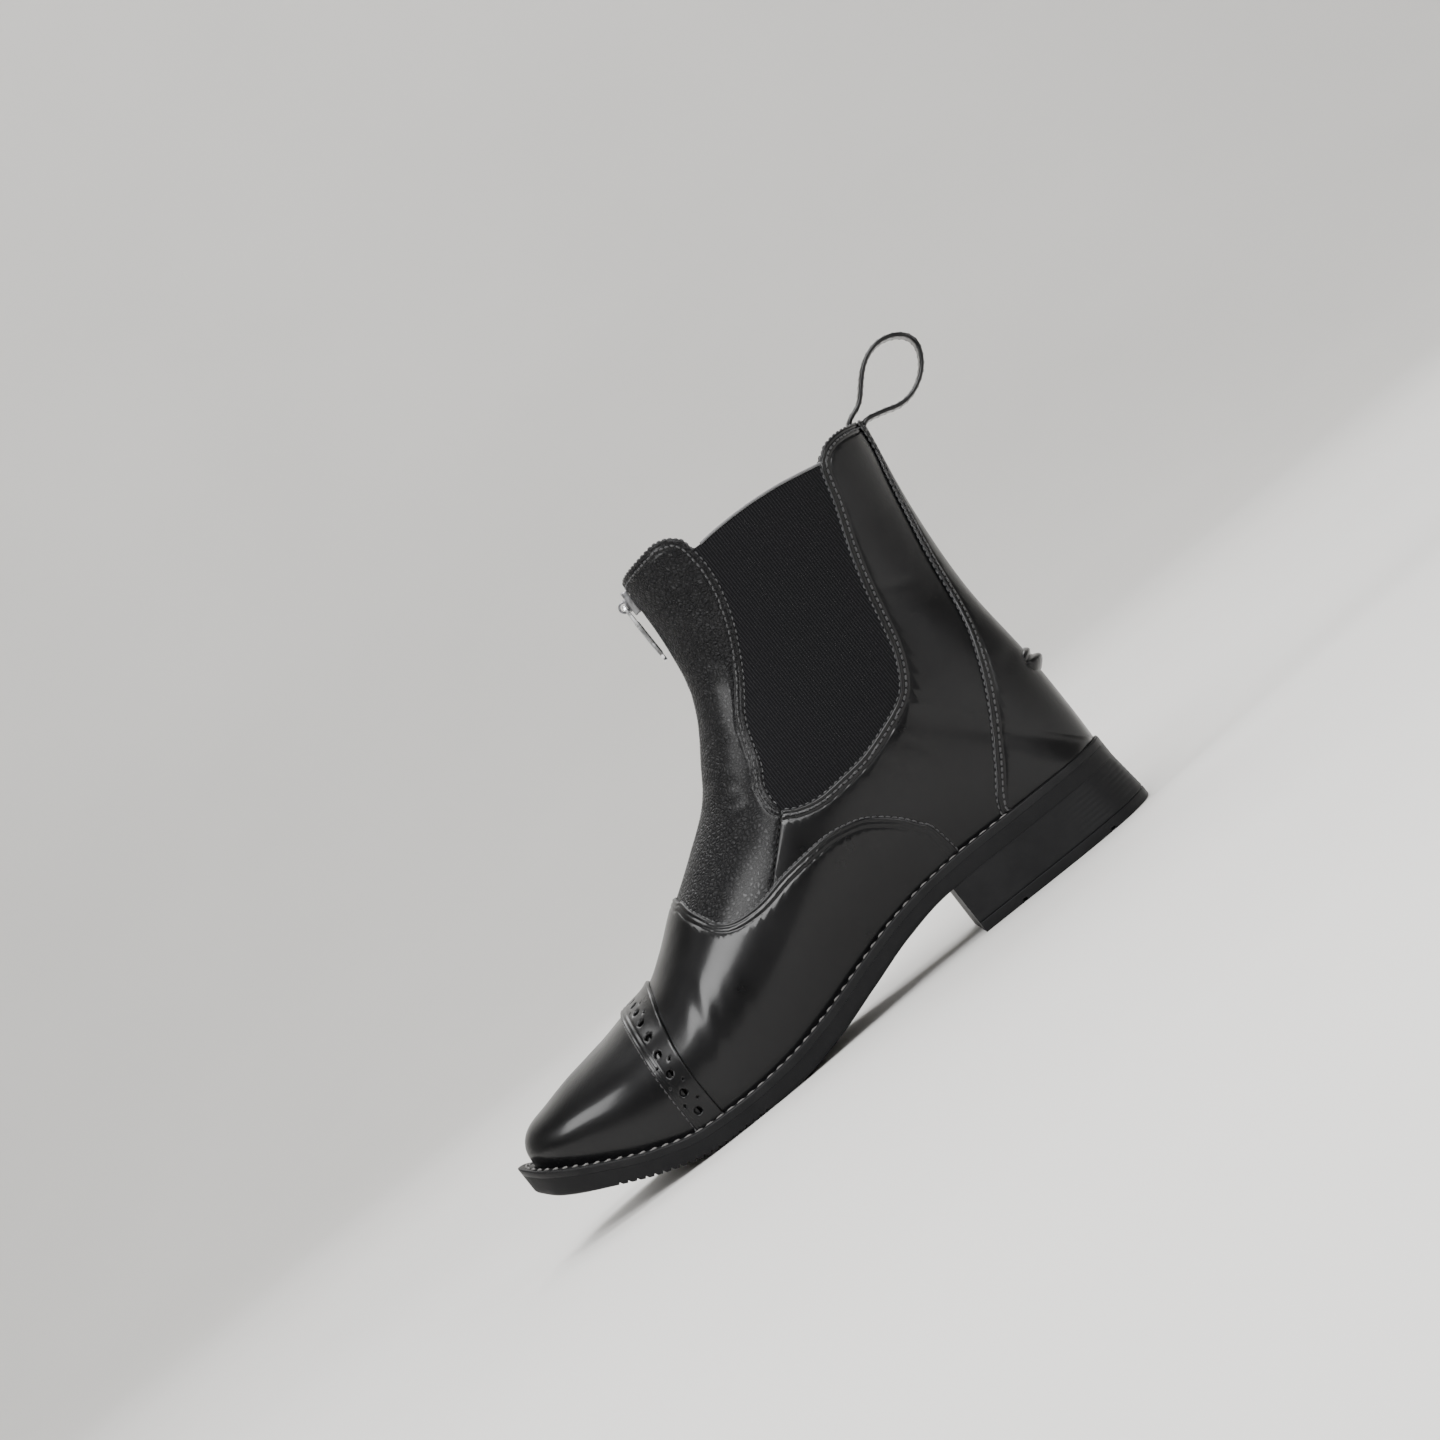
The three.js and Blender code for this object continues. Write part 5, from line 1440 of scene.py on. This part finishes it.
bpy.ops.object.modifier_apply(modifier="edges")
cleaned(pullTab, 40)
bead = block("bead", (px, 0, pz - 14.5), (pull["thickness"] + 0.5, 3.0, 15.0), 0.6, 3, brightMetal)
for v in bead.data.vertices:
    v.co.y *= 1 + 0.18 * (pz - 14.5 - v.co.z / mm) / 7.5
pick(pullTab, bead)
bpy.ops.object.join()
cleaned(pullTab, 40)
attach(pullTab, "pull")
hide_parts("zip_pull")

# pull loop: one strap bent on itself, both ends tucked in at the collar's top
loop = {"width": 13, "thickness": 1.9, "row": 1.7, "sunk": 0.26}
loopPath = loopLine[:20] + [(-0.0180, 0.990), (-0.0085, 0.984), (-0.0040, 0.955), (-0.0020, 0.915)]
line = sideLine(loopPath, 6)
run = runOf(line)
places = np.linspace(0, run[-1], int(run[-1] / 1.0))
line = np.stack([np.interp(places, run, line[:, k]) for k in range(2)], 1)
for _ in range(16):
    line[1:-1] = (line[:-2] + 2 * line[1:-1] + line[2:]) / 4
way = np.gradient(line, axis=0)
way /= np.linalg.norm(way, axis=1)[:, None]
out = np.stack([-way[:, 1], way[:, 0]], 1)
section = []
for k in range(28):
    angle = 2 * math.pi * k / 28
    a, b = math.cos(angle), math.sin(angle)
    section.append((math.copysign(abs(a) ** 0.35, a) * loop["width"] / 2,
                    math.copysign(abs(b) ** 0.55, b) * loop["thickness"] / 2))
points = [(line[i, 0] + out[i, 0] * b, a, line[i, 1] + out[i, 1] * b)
          for i in range(len(line)) for a, b in section]
strap = cleaned(meshObject("loop_strap", points, sweptFaces(len(line), len(section)), smoothLeather))
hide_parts("pull_loop")
places = []
for hand in (-1, 1):
    for face in (-1, 1):
        level = np.full(len(line), hand * (loop["width"] / 2 - loop["row"]))
        edge = np.stack([line[:, 0], level, line[:, 1]], 1)
        lifts = np.stack([out[:, 0], np.zeros(len(line)), out[:, 1]], 1) * face
        for i in range(10, len(line) - 10, 3):
            places.append((edge[i] + lifts[i] * (loop["thickness"] / 2 - loop["sunk"]),
                           np.array((way[i, 0], 0, way[i, 1])), lifts[i]))
sewn("loop_stitches", places, blackThread, 2.0, 0.5)

# spur rest: a notch above a pointed lip round the counter's back
spur = {"level": 66, "reach": 15.0,
        # out of the counter and up
        "profile": [(-0.7, 5.3), (0.8, 5.0), (1.7, 4.3), (1.9, 3.5), (1.3, 2.6), (0.9, 1.9), (1.3, 1.3),
                    (2.3, 0.9), (3.3, 0.4), (3.8, -0.3), (3.8, -1.2), (3.3, -2.1), (2.5, -3.0), (1.5, -4.0),
                    (0.5, -4.9), (-0.7, -5.3)]}
counterTree = made["heel_counter"]["tree"]
points = []
across = np.linspace(-spur["reach"], spur["reach"], 61)
for y in across:
    fade = (1 - abs(y / spur["reach"]) ** 3.2) ** 0.6
    narrow = 0.45 + 0.55 * fade
    for outward, rise in spur["profile"]:
        z = spur["level"] + rise * narrow
        hit, normal, _, _ = counterTree.ray_cast(Vector((90, y, z)), Vector((-1, 0, 0)))
        direction = np.array((normal.x, normal.y, 0))
        direction /= np.linalg.norm(direction)
        points.append(np.array(hit) + direction * (outward if outward < 0 else outward * fade))
faces = sweptFaces(len(across), len(spur["profile"]))
spurPiece = cleaned(meshObject("spur_ledge", points, faces, smoothLeather), 50)
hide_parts("spur_rest")

# light thread bound along the elastic's top edge
topEdge = float(sidePoint(0.18, 0.993)[1])
for key in ("gore_outer", "gore_inner"):
    rim = [p for p in max(made[key]["loops"], key=len) if abs(p[2] - topEdge) < 6 and -34 < p[0] < 20]
    rim = np.array(sorted(rim, key=lambda p: p[0]))
    rim = evenly(rim, 1.0)
    for _ in range(4):
        rim[1:-1] = (rim[:-2] + 2 * rim[1:-1] + rim[2:]) / 4
    ways = np.gradient(rim, axis=0)
    ways /= np.linalg.norm(ways, axis=1)[:, None]
    upward = np.array((0, 0, 1.0)) - ways * ways[:, 2:3]
    sideways = np.cross(ways, upward)
    points = [rim[i] + upward[i] * 0.55 * math.sin(a) + sideways[i] * 0.8 * math.cos(a)
              for i in range(len(rim)) for a in (2 * math.pi * k / 10 for k in range(10))]
    binding = cleaned(meshObject(key + "_binding", points, sweptFaces(len(rim), 10), edgeThread))
print("zip, loop and spur rest made")

# camera, square to the boot's side and rolled as the photo shows it, and soft light
roll = math.radians(38.65)
camera = bpy.data.objects.new("camera", bpy.data.cameras.new("camera"))
bpy.context.scene.collection.objects.link(camera)
right = Vector((math.cos(roll), 0, -math.sin(roll)))
up = Vector((math.sin(roll), 0, math.cos(roll)))
turned = Matrix((right, up, Vector((0, -1, 0)))).transposed().to_4x4()
camera.matrix_world = Matrix.Translation((-0.0672, -1.45, 0.1204)) @ turned
camera.data.lens = 36 / (2 * 0.2665 / 1.45)
camera.data.clip_end = 20
bpy.context.scene.camera = camera

lamps = {
    "key": {"place": (-0.25, -1.15, 1.05), "size": 0.65, "power": 26, "aim": (-0.08, 0, 0.08)},
    "front": {"place": (-1.15, -0.55, 0.75), "size": 0.5, "power": 12, "aim": (-0.12, 0, 0.06)},
    "side": {"place": (0.80, -0.95, 0.50), "size": 0.45, "power": 8, "aim": (-0.02, 0, 0.08)},
    "rear": {"place": (0.1, 0.95, 1.25), "size": 0.9, "power": 12, "aim": (-0.05, 0, 0.1)},
    "wall": {"place": (0, 0.2, 2.7), "size": 1.6, "power": 80, "aim": (0, 2.6, 0.6)},
}
for name, lamp in lamps.items():
    light = bpy.data.lights.new(name, "AREA")
    light.energy, light.size = lamp["power"], lamp["size"]
    holder = bpy.data.objects.new(name, light)
    holder.location = lamp["place"]
    holder.rotation_euler = (Vector(lamp["aim"]) - Vector(lamp["place"])).to_track_quat("-Z", "Y").to_euler()
    bpy.context.scene.collection.objects.link(holder)

world = bpy.data.worlds.new("studio")
bpy.context.scene.world = world
world.use_nodes = True
world.node_tree.nodes["Background"].inputs["Color"].default_value = (0.86, 0.87, 0.9, 1)
world.node_tree.nodes["Background"].inputs["Strength"].default_value = 0.22

floorMaterial, floorTree, floorShader = newMaterial("paleFloor", (0.72, 0.71, 0.69), 0.7)
floorPlace = placeOf(floorTree)
paint(floorTree, floorShader, noiseAt(floorTree, floorPlace, 3, 4), (0.68, 0.67, 0.65), (0.76, 0.75, 0.73))
bpy.ops.object.select_all(action="DESELECT")
bpy.ops.mesh.primitive_plane_add(size=10, location=(0, -3.4, 0))
floor = bpy.context.active_object
floor.name = "floor"
bpy.ops.object.transform_apply(location=True, rotation=True, scale=True)
bpy.ops.object.mode_set(mode="EDIT")
bpy.ops.mesh.select_mode(type="EDGE")
sheet = bmesh.from_edit_mesh(floor.data)
for edge in sheet.edges:
    edge.select = all(v.co.y > 1.5 for v in edge.verts)
sheet.select_flush(True)
bmesh.update_edit_mesh(floor.data)
for k in range(12):
    low, high = math.pi / 2 * k / 12, math.pi / 2 * (k + 1) / 12
    bpy.ops.mesh.extrude_region_move(TRANSFORM_OT_translate={
        "value": (0, 1.2 * (math.sin(high) - math.sin(low)), 1.2 * (math.cos(low) - math.cos(high)))})
bpy.ops.mesh.extrude_region_move(TRANSFORM_OT_translate={"value": (0, 0, 4)})
bpy.ops.object.mode_set(mode="OBJECT")
bpy.ops.object.shade_smooth()
floor.data.materials.append(floorMaterial)

print("scene ready")
